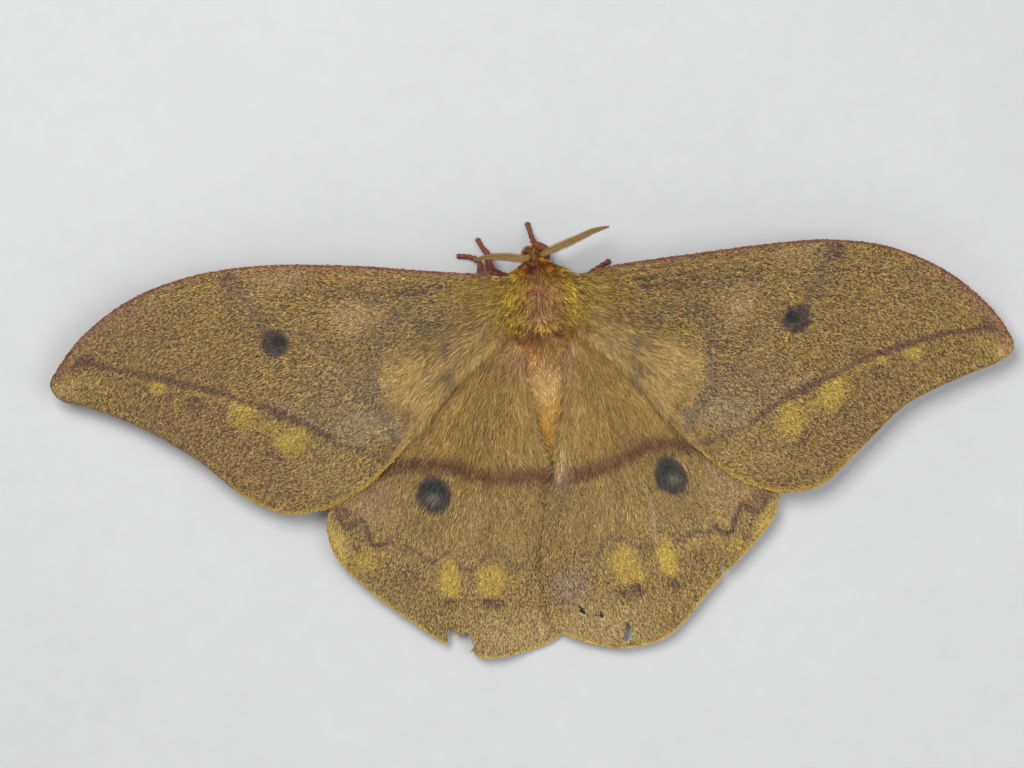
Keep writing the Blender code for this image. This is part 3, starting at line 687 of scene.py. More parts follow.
FORE_PATTERN = Pattern(GOLD, UMBER, 0.54, (
    # Gold at the root and along the front edge
    Mark(((-5, 0), (-11, 2)), 4.0, (200, 162, 64), (116, 88, 42), 0.6, 0.85),
    Mark(((-13, 4.6), (-24, 5.6), (-34, 6.4)), 1.4, (202, 160, 86), (124, 94, 64), 0.6, 0.8),
    Mark(((-16, 2.4), (-22, 2.2), (-27, 2.2), (-33, 2.9)), 0.9, (190, 154, 82), (88, 70, 52), 0.36, 0.7,
         soft=0.8),
    # Pale clouds of the inner half
    Mark(((-10, -9), (-20, -19)), 6.0, (198, 162, 94), (150, 120, 74), 0.66, 0.8),
    Mark(((-32.5, -14.5),), 5.5, (196, 168, 112), (112, 96, 84), 0.5, 0.45, stretch=(1.5, 1.0)),
    Mark(((-29.2, -17.7),), 2.8, (200, 176, 124), (136, 120, 98), 0.64, 0.6, stretch=(1.3, 1.0)),
    Mark(((-24.0, -18.8),), 1.5, (194, 170, 130), (138, 122, 106), 0.62, 0.65),
    # Grey smudges and the tan patch between them
    Mark(((-18.6, -2.8),), 1.4, GOLD, SLATE, 0.24, 0.75),
    Mark(((-15.3, -6.6),), 1.3, (180, 148, 100), SLATE, 0.3, 0.55),
    Mark(((-22.0, -11.9),), 4.3, (216, 178, 108), (180, 144, 86), 0.8, 0.8, stretch=(1.0, 1.1)),
    Mark(((-15.0, -11.4),), 1.1, GOLD, SLATE, 0.26, 0.7, stretch=(1.0, 1.3)),
    # The grey inner line and the clouds beyond it
    Mark(((-22.7, -1.0), (-24.4, -3.2), (-25.7, -6.3), (-26.9, -10.1), (-26.8, -14.0), (-25.3, -17.2),
          (-23.9, -20.3)), 1.0, (182, 152, 100), SLATE, 0.34, 0.6, soft=0.8),
    Mark(((-28.7, -1.1),), 2.7, (216, 178, 120), (156, 122, 88), 0.7, 0.7, stretch=(1.2, 1.0)),
    Mark(((-26.1, 2.0),), 1.0, GOLD, SLATE, 0.28, 0.65, stretch=(1.4, 1.0)),
    Mark(((-40.0, -2.6), (-33.9, -5.0), (-31.7, -7.4), (-30.0, -10.3), (-28.6, -12.9)), 0.9, (184, 154, 98),
         SLATE, 0.36, 0.4, soft=0.8),
    # Front edge before the eyespot
    Mark(((-40.3, 5.5),), 2.2, (206, 168, 114), (140, 110, 82), 0.62, 0.55, stretch=(2.2, 1.0)),
    Mark(((-48.1, 5.7),), 1.4, (176, 138, 96), (98, 76, 66), 0.26, 0.75),
    Mark(((-46.9, 3.8), (-44.9, 1.2), (-43.5, -1.4)), 0.95, (176, 148, 98), SLATE, 0.28, 0.55, soft=0.9),
    Mark(((-43.6, -12.8), (-42.2, -13.3), (-39.2, -14.8), (-37.0, -16.5), (-34.6, -18.2)), 0.45,
         (204, 172, 130), (148, 120, 102), 0.55, 0.5, wobble=0.5),
    # Outer part and tip
    Mark(((-62, 3), (-75, -5)), 3.0, (202, 162, 98), (126, 94, 68), 0.56, 0.5),
    Mark(((-58, -13), (-48, -22), (-38, -28)), 6.0, (196, 158, 84), (108, 80, 58), 0.5, 0.7),
    Mark(((-34.3, -24.4),), 3.8, (208, 176, 98), (128, 106, 70), 0.58, 0.55, stretch=(1.3, 1.0)),
    Mark(((-71.5, -8.2),), 1.2, (208, 173, 88), (148, 118, 66), 0.68, 0.7, stretch=(2.4, 0.9)),
    Mark(((-74.9, -9.2),), 1.6, (212, 178, 114), (160, 130, 88), 0.74, 0.85, stretch=(1.4, 1.0)),
    # Yellow patches and the dark spots behind them
    Mark(((-60.5, -9.7),), 1.15, LEMON, OCHRE, 0.84, 0.95, stretch=(1.3, 1.0)),
    Mark(((-55.6, -10.9), (-53.1, -11.4), (-50.4, -12.6)), 0.7, (210, 176, 88), (140, 112, 62), 0.68, 0.75),
    Mark(((-43.9, -17.0),), 1.2, (210, 176, 86), (140, 112, 60), 0.68, 0.75),
    Mark(((-47.3, -14.9),), 2.4, LEMON, OCHRE, 0.82, 0.95),
    Mark(((-40.0, -19.4),), 2.6, LEMON, OCHRE, 0.82, 0.95, stretch=(1.1, 1.0)),
    Mark(((-55.0, -12.9),), 1.1, GOLD, PLUM, 0.22, 0.75, stretch=(1.3, 1.0)),
    Mark(((-49.4, -17.9),), 0.9, GOLD, PLUM, 0.26, 0.6),
    Mark(((-43.2, -20.8), (-42.0, -22.2)), 0.85, GOLD, PLUM, 0.22, 0.75),
    # The dark line from the tip to the inner margin
    Mark(((-75.4, -6.3), (-73.0, -5.8), (-71.0, -5.7), (-69.2, -6.1), (-66.1, -6.9), (-63.0, -7.7),
          (-59.9, -8.5), (-56.8, -9.5), (-53.8, -10.4), (-50.7, -11.3), (-47.7, -12.7), (-44.6, -13.7),
          (-42.3, -14.9), (-40.1, -16.0), (-37.8, -16.9), (-35.5, -18.4), (-33.3, -19.9)),
         0.42, (158, 122, 78), (95, 69, 57), 0.28, 0.86, soft=0.95, wobble=0.8),
    Mark(((-33.3, -19.9), (-31.0, -21.0), (-28.7, -21.9), (-26.4, -22.8), (-24.6, -23.3)),
         0.42, (168, 138, 92), (92, 80, 74), 0.34, 0.6, soft=0.95, wobble=1.0),
    Mark(((-72.4, -5.4), (-70.4, -4.9)), 0.7, (160, 118, 80), (96, 70, 60), 0.3, 0.8, soft=0.8),
    # The eyespot and its core
    Mark(((-41.65, -4.25),), 2.12, (98, 79, 69), (63, 50, 44), 0.44, 0.96, soft=0.24, wobble=0.14),
    Mark(((-41.25, -3.95),), 0.8, (54, 54, 46), (36, 37, 33), 0.3, 1.0, soft=0.25, stretch=(1.3, 1.0)),
))

HIND_PATTERN = Pattern((200.0, 168.0, 94.0), (121.0, 95.0, 56.0), 0.55, (
    # The warm inner half and pale clouds
    Mark(((-6, -8), (-14, -18)), 11.0, (198, 159, 84), (140, 107, 57), 0.58, 0.95, soft=0.3),
    Mark(((-8, -12), (-12, -22)), 3.6, (178, 140, 66), (122, 92, 46), 0.5, 0.5),
    Mark(((-26, -30), (-20, -36), (-8, -36)), 5.0, (204, 170, 100), (144, 116, 76), 0.6, 0.6),
    Mark(((-28.2, -29.5),), 3.0, (206, 168, 120), (160, 124, 94), 0.68, 0.6, stretch=(1.4, 1.0)),
    Mark(((-34.5, -29.8),), 2.0, (206, 162, 116), (160, 118, 90), 0.6, 0.6),
    # The broad brown band
    Mark(((-28.4, -25.6), (-25.4, -25.0), (-23.5, -24.8), (-20.4, -24.6), (-17.3, -24.8), (-14.9, -25.1),
          (-12.7, -26.0), (-10.4, -26.9), (-8.1, -27.1), (-4.9, -27.1), (-1.1, -27.2), (1.6, -27.6)),
         1.05, (147, 104, 62), (96, 64, 41), 0.34, 0.9, soft=0.95, wobble=0.25),
    # The zigzag line
    Mark(((-33.4, -31.2), (-32.0, -31.9)), 1.1, (160, 122, 90), (100, 72, 62), 0.32, 0.55, soft=0.9),
    Mark(((-33.6, -32.0), (-32.5, -33.6), (-31.1, -33.2), (-30.0, -32.4), (-29.2, -34.1), (-28.7, -36.2),
          (-27.4, -36.6), (-25.8, -35.9)),
         0.36, (144, 116, 82), (90, 70, 60), 0.26, 0.8, soft=0.8, wobble=0.25),
    Mark(((-25.8, -35.9), (-24.6, -37.2), (-22.4, -37.5), (-20.1, -39.4), (-18.8, -39.8)),
         0.38, (150, 122, 84), (96, 78, 64), 0.32, 0.55, soft=0.9, wobble=0.6),
    Mark(((-18.8, -39.8), (-17.4, -38.6), (-16.3, -38.8), (-15.4, -40.1), (-14.2, -41.3), (-12.7, -41.1),
          (-11.3, -39.9), (-9.4, -38.9), (-7.9, -40.1), (-6.6, -41.5), (-4.8, -41.0)),
         0.38, (160, 131, 88), (102, 83, 66), 0.34, 0.55, soft=0.9, wobble=0.7),
    # Yellow patches and the dark spots behind them
    Mark(((-33.9, -36.2),), 1.6, (222, 188, 100), (184, 150, 80), 0.9, 0.9, stretch=(1.0, 2.0)),
    Mark(((-29.9, -38.8),), 1.8, (212, 178, 86), (150, 122, 62), 0.72, 0.75),
    Mark(((-26.5, -37.9),), 1.0, (212, 178, 86), (150, 122, 62), 0.72, 0.6),
    Mark(((-17.0, -42.9),), 1.35, (224, 188, 84), (182, 148, 68), 0.92, 1.0, stretch=(1.0, 2.0)),
    Mark(((-10.6, -43.1),), 2.1, (220, 183, 86), (172, 140, 74), 0.86, 0.92, stretch=(1.0, 1.25)),
    Mark(((-31.0, -37.0),), 0.6, GOLD, PLUM, 0.26, 0.7),
    Mark(((-22.6, -41.8),), 1.1, GOLD, PLUM, 0.28, 0.7, stretch=(1.2, 1.0)),
    Mark(((-17.2, -46.2),), 0.95, GOLD, PLUM, 0.2, 0.85, stretch=(1.2, 1.0)),
    Mark(((-10.2, -46.8),), 1.0, GOLD, PLUM, 0.14, 0.95, stretch=(1.8, 1.0)),
    Mark(((-4.9, -44.3),), 1.0, GOLD, SLATE, 0.3, 0.65),
    # Thin golden veins and the pale hind margin
    Mark(((-23.6, -27.6), (-25.0, -31.0), (-26.4, -34.6)), 0.28, (212, 174, 84), (164, 130, 64), 0.75, 0.7),
    Mark(((-30.2, -28.4), (-31.2, -31.6)), 0.28, (212, 174, 84), (164, 130, 64), 0.75, 0.6),
    Mark(((-7.0, -52.0),), 4.6, (214, 184, 120), (150, 124, 86), 0.64, 0.7, stretch=(2.0, 0.8)),
    # The eyespot, its core and its glint
    Mark(((-18.5, -29.4),), 2.75, (106, 92, 80), (66, 58, 53), 0.28, 1.0, soft=0.14, stretch=(0.96, 1.05),
         wobble=0.05),
    Mark(((-18.2, -28.7),), 1.3, (66, 70, 66), (46, 50, 50), 0.2, 0.8, soft=0.5),
    Mark(((-18.7, -29.9),), 0.95, (176, 160, 142), (126, 114, 104), 0.6, 0.8, soft=0.7, stretch=(1.15, 1.0)),
))

# Tones of the fur on the back, from tail to face, which run out over the roots of the wings

FUR_LIGHT = (
    (-30.0, (216, 166, 72)), (-20.0, (200, 147, 54)), (-14.0, (203, 166, 100)), (-9.5, (192, 148, 96)),
    (-6.0, (168, 119, 52)), (-5.4, (174, 134, 50)), (2.5, (174, 136, 50)), (4.2, (154, 104, 24)),
    (5.6, (168, 112, 24)), (9.0, (180, 120, 26)))
FUR_DARK = (
    (-30.0, (192, 143, 58)), (-20.0, (173, 122, 44)), (-14.0, (166, 127, 74)), (-9.5, (146, 106, 66)),
    (-6.0, (120, 78, 28)), (-5.4, (86, 56, 20)), (2.5, (86, 56, 18)), (4.2, (74, 40, 8)),
    (5.6, (68, 29, 4)), (9.0, (74, 32, 6)))


def zones(value: np.ndarray, stops: tuple[tuple[float, Tone], ...]) -> np.ndarray:
    """Blend tones between stops along one measure.

    Args:
        value: the measure at each place.
        stops: where on it, and which tone.

    Returns:
        One tone for each place.
    """
    marks = np.array([stop[0] for stop in stops], float)
    tones = np.array([stop[1] for stop in stops], float)
    return np.column_stack([np.interp(value, marks, tones[:, channel]) for channel in range(3)])


def body_tones(places: np.ndarray) -> tuple[np.ndarray, np.ndarray]:
    """Light and dark tone of the fur on the back at each place, seen from above, with painted highlights on
    the thorax and a painted shadow under the rear edge of its fur.

    Args:
        places: rows that start with x, y.

    Returns:
        The light tones and the dark ones.
    """
    blur = np.column_stack((drift(places, 1.5, 36), drift(places, 1.5, 37)))
    x, y = (places[:, :2] + 0.45 * blur).T
    light, dark = zones(y, FUR_LIGHT), zones(y, FUR_DARK)
    side = np.abs(x - 0.1)
    fringe_line = -4.8 + 0.12 * (x - 0.3) ** 2
    back = smooth_step((y - fringe_line) / 1.2) * smooth_step((4.0 - y) / 2.2)
    layers = (
        ((212, 176, 60), (98, 70, 26), 0.85 * smooth_step((side - 1.8) / 2.4) * smooth_step((y + 5.0) / 1.8)
         * smooth_step((5.0 - y) / 1.0)),
        ((172, 124, 76), (114, 72, 38), 0.9 * smooth_step((3.2 - side) / 2.2) * back),
        ((150, 92, 58), (104, 58, 32), 0.7 * smooth_step((0.7 - np.hypot(x + 0.2, (y - 2.2) * 0.45)) / 0.5)),
        # Two small pale spots on the back of the thorax: painted highlights
        ((206, 176, 142), (150, 118, 92), 0.65 * smooth_step((0.6 - np.hypot(x + 0.2, y - 0.6)) / 0.4)),
        ((212, 178, 134), (156, 118, 82),
         0.6 * smooth_step((0.7 - np.hypot((x + 0.8) * 0.7, y + 2.3)) / 0.45)),
        ((200, 160, 66), (108, 76, 30),
         0.8 * smooth_step((0.9 - np.abs(y - fringe_line - 0.7)) / 0.5) * (side < 4.6)),
        ((124, 70, 36), (92, 46, 24),
         0.9 * smooth_step((1.3 - np.hypot((x + 1.8) * 0.8, (y + 5.8) * 1.4)) / 0.9)),
        # A thin dark band just behind the rear edge of the thorax fur: painted shadow cast by that edge
        ((112, 66, 32), (74, 42, 20),
         0.92 * smooth_step((0.46 - np.abs(y - fringe_line + 0.3)) / 0.25) * (side < 3.6)),
        ((218, 172, 110), (182, 134, 78),
         0.85 * smooth_step((1.5 - np.hypot(side - 5.0, (y + 7.6) * 0.5)) / 1.0)),
        ((104, 46, 20), (62, 24, 10), 0.95 * smooth_step((0.46 - np.abs(y - 5.45 + 0.05 * x * x)) / 0.22)
         * smooth_step((2.7 - np.abs(x - 0.5)) / 0.6)),
        ((138, 68, 26), (84, 38, 14),
         0.75 * smooth_step((0.5 - np.abs(x + 0.7)) / 0.4) * smooth_step((y - 5.6) / 0.8)),
    )
    for bright, deep, weight in layers:
        lay_over(light, bright, weight)
        lay_over(dark, deep, weight)
    return light, dark


def join_body(spots: np.ndarray, light: np.ndarray, dark: np.ndarray) -> tuple[np.ndarray, np.ndarray]:
    """Let the tones of a wing run into those of the body near its root.

    Args:
        spots: rows of x, y.
        light: the wing's light tones.
        dark: its dark tones.

    Returns:
        The light tones and the dark ones.
    """
    bright, deep = body_tones(spots)
    reach = np.interp(spots[:, 1], (-21.0, -17.0, -13.0, -9.0, -4.0, 4.0), (-3.0, 1.2, 4.8, 7.6, 9.0, 9.0))
    weight = smooth_step((reach - np.abs(spots[:, 0]) + 0.8 * drift(spots, 1.6, 35)) / 2.6)[:, None]
    return light + (bright - light) * weight, dark + (deep - dark) * weight


# Wings


def sample(line: np.ndarray, share: np.ndarray) -> np.ndarray:
    """Places at shares from 0 to 1 along an evenly spaced line.

    Args:
        line: the line's points.
        share: how far along each place is.

    Returns:
        One place for each share.
    """
    spot = np.clip(share, 0.0, 1.0) * (len(line) - 1)
    low = np.minimum(spot.astype(int), len(line) - 2)
    return line[low] + (line[low + 1] - line[low]) * (spot - low)[:, None]


def mixed(spots: np.ndarray, rng: np.random.Generator, cell: float = 0.7) -> np.ndarray:
    """Random numbers from 0 to 1 that are evenly shared out within each small square.

    Args:
        spots: rows of x, y.
        rng: gives the random draws.
        cell: how wide a square is.

    Returns:
        One number for each place.
    """
    squares = np.floor(spots / cell).astype(int) @ np.array((4096, 1))
    order = np.lexsort((rng.random(len(spots)), squares))
    starts = np.flatnonzero(np.r_[True, np.diff(squares[order]) != 0])
    counts = np.diff(np.r_[starts, len(squares)])
    numbers = np.empty(len(squares))
    rank = np.arange(len(squares)) - np.repeat(starts, counts)
    numbers[order] = (rank + rng.random(len(squares))) / np.repeat(counts, counts)
    return numbers


@dataclass
class Wing:
    """One wing with its membrane, veins, scales and hair.

    A place on it is named by its share outwards from the root and its share forwards from the
    inner margin, and the lines of equal share forwards are the fan that scales and hair follow.
    """

    layer: Layer
    side: Side
    costa: Line
    outer: Line
    inner: Line
    veins: tuple[Line, ...]
    anchors: tuple[Line, Line]
    pattern: Pattern
    torn: tuple[Line, ...] = ()
    own: tuple[Mark, ...] = ()
    cells: tuple[int, int] = (150, 84)
    cover: np.ndarray | None = None
    scale_length: float = 0.72
    scale_width: float = 0.17
    hair_width: float = 0.112
    scale_peak: float = 38.0
    hair_peak: float = 20.0
    under_peak: float = 6.2
    front: np.ndarray = field(init=False)
    rear: np.ndarray = field(init=False)
    base: np.ndarray = field(init=False)
    rim: np.ndarray = field(init=False)
    vein_away: Field = field(init=False)
    rear_away: Field = field(init=False)
    rim_away: Field = field(init=False)
    front_away: Field = field(init=False)

    def __post_init__(self) -> None:
        """Draw the four sides as smooth lines and measure the veins once."""
        self.front = smooth_line(self.costa, 400)
        self.rear = smooth_line(self.inner, 400)[::-1]
        self.rim = smooth_line(self.outer, 400)[::-1]
        self.base = smooth_line((tuple(self.rear[0]), tuple(self.front[0])), 50)
        veins = [smooth_line(vein, 24) for vein in self.veins]
        self.vein_away = Field.of(
            lambda spots: np.min([line_distance(spots, vein) for vein in veins], axis=0), *VEIN_FIELD)
        loop = self.outline()
        low, high = tuple(loop.min(axis=0) - 3.0), tuple(loop.max(axis=0) + 3.0)
        self.rear_away, self.rim_away, self.front_away = (
            Field.of(lambda spots: line_distance(spots, line[::5]), low, high, 0.25)
            for line in (self.rear, self.rim, self.front))

    @property
    def name(self) -> str:
        """The solid that this wing stands for."""
        return f"{self.layer.value}_{self.side.name.lower()}"

    def outline(self) -> np.ndarray:
        """The closed outline, seen from above."""
        return np.vstack((self.base, self.front, self.rim[::-1], self.rear[::-1]))

    def spot(self, out: np.ndarray, fore: np.ndarray) -> np.ndarray:
        """Places from above for shares outwards and forwards.

        Args:
            out: shares outwards from the root.
            fore: shares forwards.

        Returns:
            Rows of x, y.
        """
        s, t = out[:, None], fore[:, None]
        corners = ((1 - s) * (1 - t) * self.rear[0] + s * (1 - t) * self.rear[-1]
                   + (1 - s) * t * self.front[0] + s * t * self.front[-1])
        return ((1 - t) * sample(self.rear, out) + t * sample(self.front, out)
                + (1 - s) * sample(self.base, fore) + s * sample(self.rim, fore) - corners)

    def twin(self, spots: np.ndarray) -> np.ndarray:
        """The same places on the left wing, drawn through landmarks that both wings show.

        Args:
            spots: rows of x, y.

        Returns:
            Rows of x, y on the left wing.
        """
        if self.side is Side.LEFT:
            return spots
        left, right = (np.array(marks, float) for marks in self.anchors)

        def plain(places: np.ndarray) -> np.ndarray:
            """Rows of x, y and 1."""
            return np.column_stack((places, np.ones(len(places))))

        def near(places: np.ndarray) -> np.ndarray:
            """How near each place is to each landmark, from 0 to 1."""
            return np.exp(-((places[:, None, :] - right[None]) ** 2).sum(axis=-1) / (2 * LANDMARK_REACH**2))

        turn = np.linalg.lstsq(plain(right), left, rcond=None)[0]
        rest = left - plain(right) @ turn
        pull = np.linalg.solve(near(right) + LANDMARK_SLACK * np.eye(len(right)), rest)
        return plain(spots) @ turn + near(spots) @ pull

    def rise(self, spots: np.ndarray) -> np.ndarray:
        """How far the veins stand up at each place.

        Args:
            spots: rows of x, y.

        Returns:
            Heights over the plain sheet.
        """
        places = self.twin(spots)
        reach = np.clip(np.linalg.norm(places, axis=1) / WING_LENGTH, 0.0, 1.0)
        flank = smooth_step(1.0 - self.vein_away.at(places) / (VEIN_HALF * 1.3))
        return VEIN_HEIGHT * (1.0 - 0.5 * reach) * flank

    def height(self, spots: np.ndarray) -> np.ndarray:
        """Height of the sheet's middle, with the forewing's inner edge laid down on the hindwing.

        Args:
            spots: rows of x, y.

        Returns:
            Heights in millimetres.
        """
        level = wing_height(spots, self.layer, self.side)
        if self.layer is Layer.HIND:
            return level
        near = smooth_step((4.5 - self.rear_away.at(spots)) / 4.5)
        return level - FORE_SINK * near * smooth_step((34.0 - np.abs(spots[:, 0])) / 16.0)

    def ripple(self, spots: np.ndarray) -> np.ndarray:
        """Small waves of the sheet between the veins."""
        return 0.05 * drift(spots, 5.0, 11) + 0.03 * drift(spots, 1.8, 12)

    def place(self, spots: np.ndarray, lift: np.ndarray | float, under: bool = False) -> np.ndarray:
        """Places in space at a lift over the upper or under face.

        Args:
            spots: rows of x, y.
            lift: how high over the face.
            under: whether on the under face.

        Returns:
            Rows of x, y, z.
        """
        height = self.height(spots)
        rise = self.rise(spots)
        z = height - COAT_FLOOR - 0.25 * rise - lift if under else (
            height + COAT_FLOOR + 0.8 * rise + self.ripple(spots) * 0.5 + lift)
        return np.column_stack((spots, z))

    def lie(self, out: np.ndarray, fore: np.ndarray) -> np.ndarray:
        """Unit directions outwards along the fan."""
        step = np.where(out > 0.5, -1e-3, 1e-3)
        return unit((self.spot(out + step, fore) - self.spot(out, fore)) / step[:, None])

    def gone(self, spots: np.ndarray) -> np.ndarray:
        """Say which places are in a tear or a hole.

        Args:
            spots: rows of x, y.

        Returns:
            True where the sheet is torn away.
        """
        lost = np.zeros(len(spots), bool)
        for loop in self.torn:
            lost |= inside_loop(spots, np.array(loop))
        return lost

    def mixture(self, spots: np.ndarray, fore: np.ndarray) -> tuple[np.ndarray, np.ndarray, np.ndarray]:
        """The pattern's tones and share of light scales, with the coloured margins.

        Args:
            spots: rows of x, y.
            fore: how far forwards each place is.

        Returns:
            Light tones, dark tones and the share of light ones.
        """
        light, dark, share = self.pattern.mixture(self.twin(spots), spots, self.own)
        hem, edge = self.rim_away.at(spots), self.front_away.at(spots)
        layers = [((214, 176, 80), (178, 140, 62), 0.85, 0.85 * smooth_step((0.7 - hem) / 0.5))]
        if self.layer is Layer.FORE:
            outward = smooth_step((fore - 0.24) / 0.16)
            rear = self.rear_away.at(spots) + 0.6 * smooth_step((28.0 - np.abs(spots[:, 0])) / 8.0)
            layers[0] = ((208, 168, 66), (178, 140, 54), 0.8,
                         0.85 * (1 - outward) * smooth_step((0.8 - np.minimum(hem, rear)) / 0.45))
            tip = smooth_step((np.abs(spots[:, 0]) - 48.0) / 22.0)
            layers += [
                ((150, 112, 80), (108, 78, 62), 0.4, 0.75 * outward * smooth_step((0.5 - hem) / 0.5)),
                ((196, 146, 104), (134, 92, 72), 0.55,
                 (0.25 + 0.3 * tip) * smooth_step((1.0 + 1.4 * tip - edge) / 1.6)),
                ((172, 104, 74), (130, 72, 54), 0.6, 0.95 * smooth_step((0.5 - edge) / 0.3))]
        for bright, deep, part, weight in layers:
            lay_over(light, bright, weight)
            lay_over(dark, deep, weight)
            share += (part - share) * weight
        return light, dark, share

    def membrane(self) -> bpy.types.Object:
        """Build the thin sheet with its tears, its thickness and its painted pattern, darkened as painted
        shade under the coats.

        Returns:
            The sheet's object.
        """
        bm = bmesh.new()
        bmesh.ops.create_grid(bm, x_segments=self.cells[0], y_segments=self.cells[1], size=0.5)
        shares = np.array([vert.co[:2] for vert in bm.verts]) + 0.5
        spots = self.spot(shares[:, 0], shares[:, 1])
        for vert, spot in zip(bm.verts, spots):
            vert.co = (*spot, 0.0)
        for loop in self.torn:
            middles = np.array([face.calc_center_median()[:2] for face in bm.faces])
            lost = [face for face, torn in zip(bm.faces, inside_loop(middles, np.array(loop))) if torn]
            bmesh.ops.delete(bm, geom=lost, context="FACES")
            self.trim(bm, np.array(loop, float))
        spots = np.array([vert.co[:2] for vert in bm.verts])
        low = self.height(spots) - SKIN_HALF - 0.2 * self.rise(spots)
        for vert, z in zip(bm.verts, low):
            vert.co.z = z
        grown = bmesh.ops.extrude_face_region(bm, geom=bm.faces[:], use_keep_orig=True)
        tops = [item for item in grown["geom"] if isinstance(item, bmesh.types.BMVert)]
        spots = np.array([vert.co[:2] for vert in tops])
        for vert, place in zip(tops, self.place(spots, SKIN_HALF - COAT_FLOOR)):
            vert.co = place
        bmesh.ops.recalc_face_normals(bm, faces=bm.faces[:])
        piece = to_object(f"{self.name}_membrane", bm)
        places = np.empty(len(piece.data.vertices) * 3)
        piece.data.vertices.foreach_get("co", places)
        spots = places.reshape(-1, 3)[:, :2] / MILLIMETRE - BODY_SHIFT[:2]
        light, dark, share = self.mixture(spots, self.fore_share(spots))
        light, dark = join_body(spots, light, dark)
        # The sheet takes the pattern's tones darkened: painted shade under the scales and hair
        paint(piece.data, mix(light, dark, share) * MEMBRANE_SHADE)
        return piece

    def fore_share(self, spots: np.ndarray) -> np.ndarray:
        """Roughly how far forward each place lies, from the distances to the two long sides."""
        ahead, behind = self.front_away.at(spots), self.rear_away.at(spots)
        return behind / np.maximum(ahead + behind, 1e-6)

    @staticmethod
    def trim(bm: bmesh.types.BMesh, loop: np.ndarray) -> None:
        """Move points that are left inside a tear onto its edge.

        Args:
            bm: the sheet's mesh.
            loop: the tear's outline.
        """
        verts = bm.verts[:]
        held = inside_loop(np.array([vert.co[:2] for vert in verts]), loop)
        closed = np.vstack((loop, loop[:1]))
        for vert in (vert for vert, inner in zip(verts, held) if inner):
            spot, best = np.array(vert.co[:2]), (1e9, None)
            for start, end in zip(closed, closed[1:]):
                share = np.clip((spot - start) @ (end - start) / ((end - start) @ (end - start)), 0.0, 1.0)
                near = start + share * (end - start)
                best = min(best, (float(np.linalg.norm(spot - near)), tuple(near)))
            vert.co = (*best[1], 0.0)

    def scatter(self, peak: float, thin: Measure, seed: int, span: tuple[float, float] = (0.0, 1.0)
                ) -> tuple[np.ndarray, np.ndarray]:
        """Spread roots evenly over the wing.

        Args:
            peak: the most roots for each square millimetre.
            thin: gives the share of that density at each place.
            seed: which of the spreads.
            span: the shares outwards that are covered.

        Returns:
            Shares outwards and forwards of the roots.
        """
        probes = np.meshgrid(*(np.linspace(0.01, 0.99, 40),) * 2)
        most = self.stretch(probes[0].ravel(), probes[1].ravel()).max() * 1.05
        tries = int(most * peak * (span[1] - span[0]))
        index = np.arange(1, tries + 1)
        out, fore = ((0.5 + step * index + 0.1 * seed) % 1.0 for step in EVEN_STEPS)
        rng = np.random.default_rng(seed)
        out = np.clip(span[0] + (span[1] - span[0]) * out + rng.normal(0, ROOT_JITTER, tries), 0.0, 1.0)
        fore = np.clip(fore + rng.normal(0, ROOT_JITTER, tries), 0.0, 1.0)
        spots = self.spot(out, fore)
        chance = self.stretch(out, fore) / most * thin(spots)
        ahead = spots + self.lie(out, fore) * TEAR_AHEAD
        keep = (rng.random(tries) < chance) & ~self.gone(spots) & ~self.gone(ahead)
        return out[keep], fore[keep]

    def stretch(self, out: np.ndarray, fore: np.ndarray) -> np.ndarray:
        """Square millimetres for each unit of the two shares.

        Args:
            out: shares outwards.
            fore: shares forwards.

        Returns:
            One area for each place.
        """
        step = 1e-3
        a = (self.spot(np.minimum(out + step, 1.0), fore) - self.spot(np.maximum(out - step, 0.0), fore))
        b = (self.spot(out, np.minimum(fore + step, 1.0)) - self.spot(out, np.maximum(fore - step, 0.0)))
        return np.abs(a[:, 0] * b[:, 1] - a[:, 1] * b[:, 0]) / (4 * step * step)

    def tuck(self, spots: np.ndarray, tips: np.ndarray, slack: float) -> np.ndarray:
        """Pull tufts in whose tips pass the margin by more than the slack.

        Args:
            spots: where the tufts stand.
            tips: where they end.
            slack: how far a tip may pass the margin.

        Returns:
            Where the tufts stand now.
        """
        outline = np.vstack((self.front[::4], self.rim[::-4]))
        far = np.flatnonzero(~inside_loop(tips, self.outline()))
        moved = spots.copy()
        if len(far):
            near = outline[np.argmin(((tips[far, None, :] - outline[None]) ** 2).sum(-1), axis=1)]
            gap = near - tips[far]
            reach = np.linalg.norm(gap, axis=1, keepdims=True)
            moved[far] += gap * np.maximum(1.0 - slack / np.maximum(reach, 1e-6), 0.0) * (reach < TUCK_REACH)
        return moved

    def hairiness(self, spots: np.ndarray) -> np.ndarray:
        """How far long hair takes the place of scales, from 0 to 1.

        Args:
            spots: rows of x, y.

        Returns:
            One share for each place.
        """
        places = self.twin(spots)
        if self.layer is Layer.FORE:
            near = np.linalg.norm((places - np.array((-9.0, -12.0))) / np.array((1.45, 1.0)), axis=1)
            root = np.linalg.norm(places - np.array((-4.0, 0.0)), axis=1)
            return np.maximum(smooth_step((11.5 - near) / 4.0), smooth_step((8.0 - root) / 3.5))
        near = np.linalg.norm(places - np.array((-3.0, -4.0)), axis=1)
        return np.maximum(smooth_step((25.5 - near) / 4.0), 0.55 * smooth_step((38.5 - near) / 7.0))

    def shown(self, spots: np.ndarray) -> np.ndarray:
        """Fewer tufts where another wing lies over this one.

        Args:
            spots: rows of x, y.

        Returns:
            The share of tufts left at each place.
        """
        if self.cover is None:
            return np.ones(len(spots))
        deep = inside_loop(spots, self.cover) & (line_distance(spots, self.cover[::6]) > COVERED_MARGIN)
        return np.where(deep, COVERED_SHARE, 1.0)

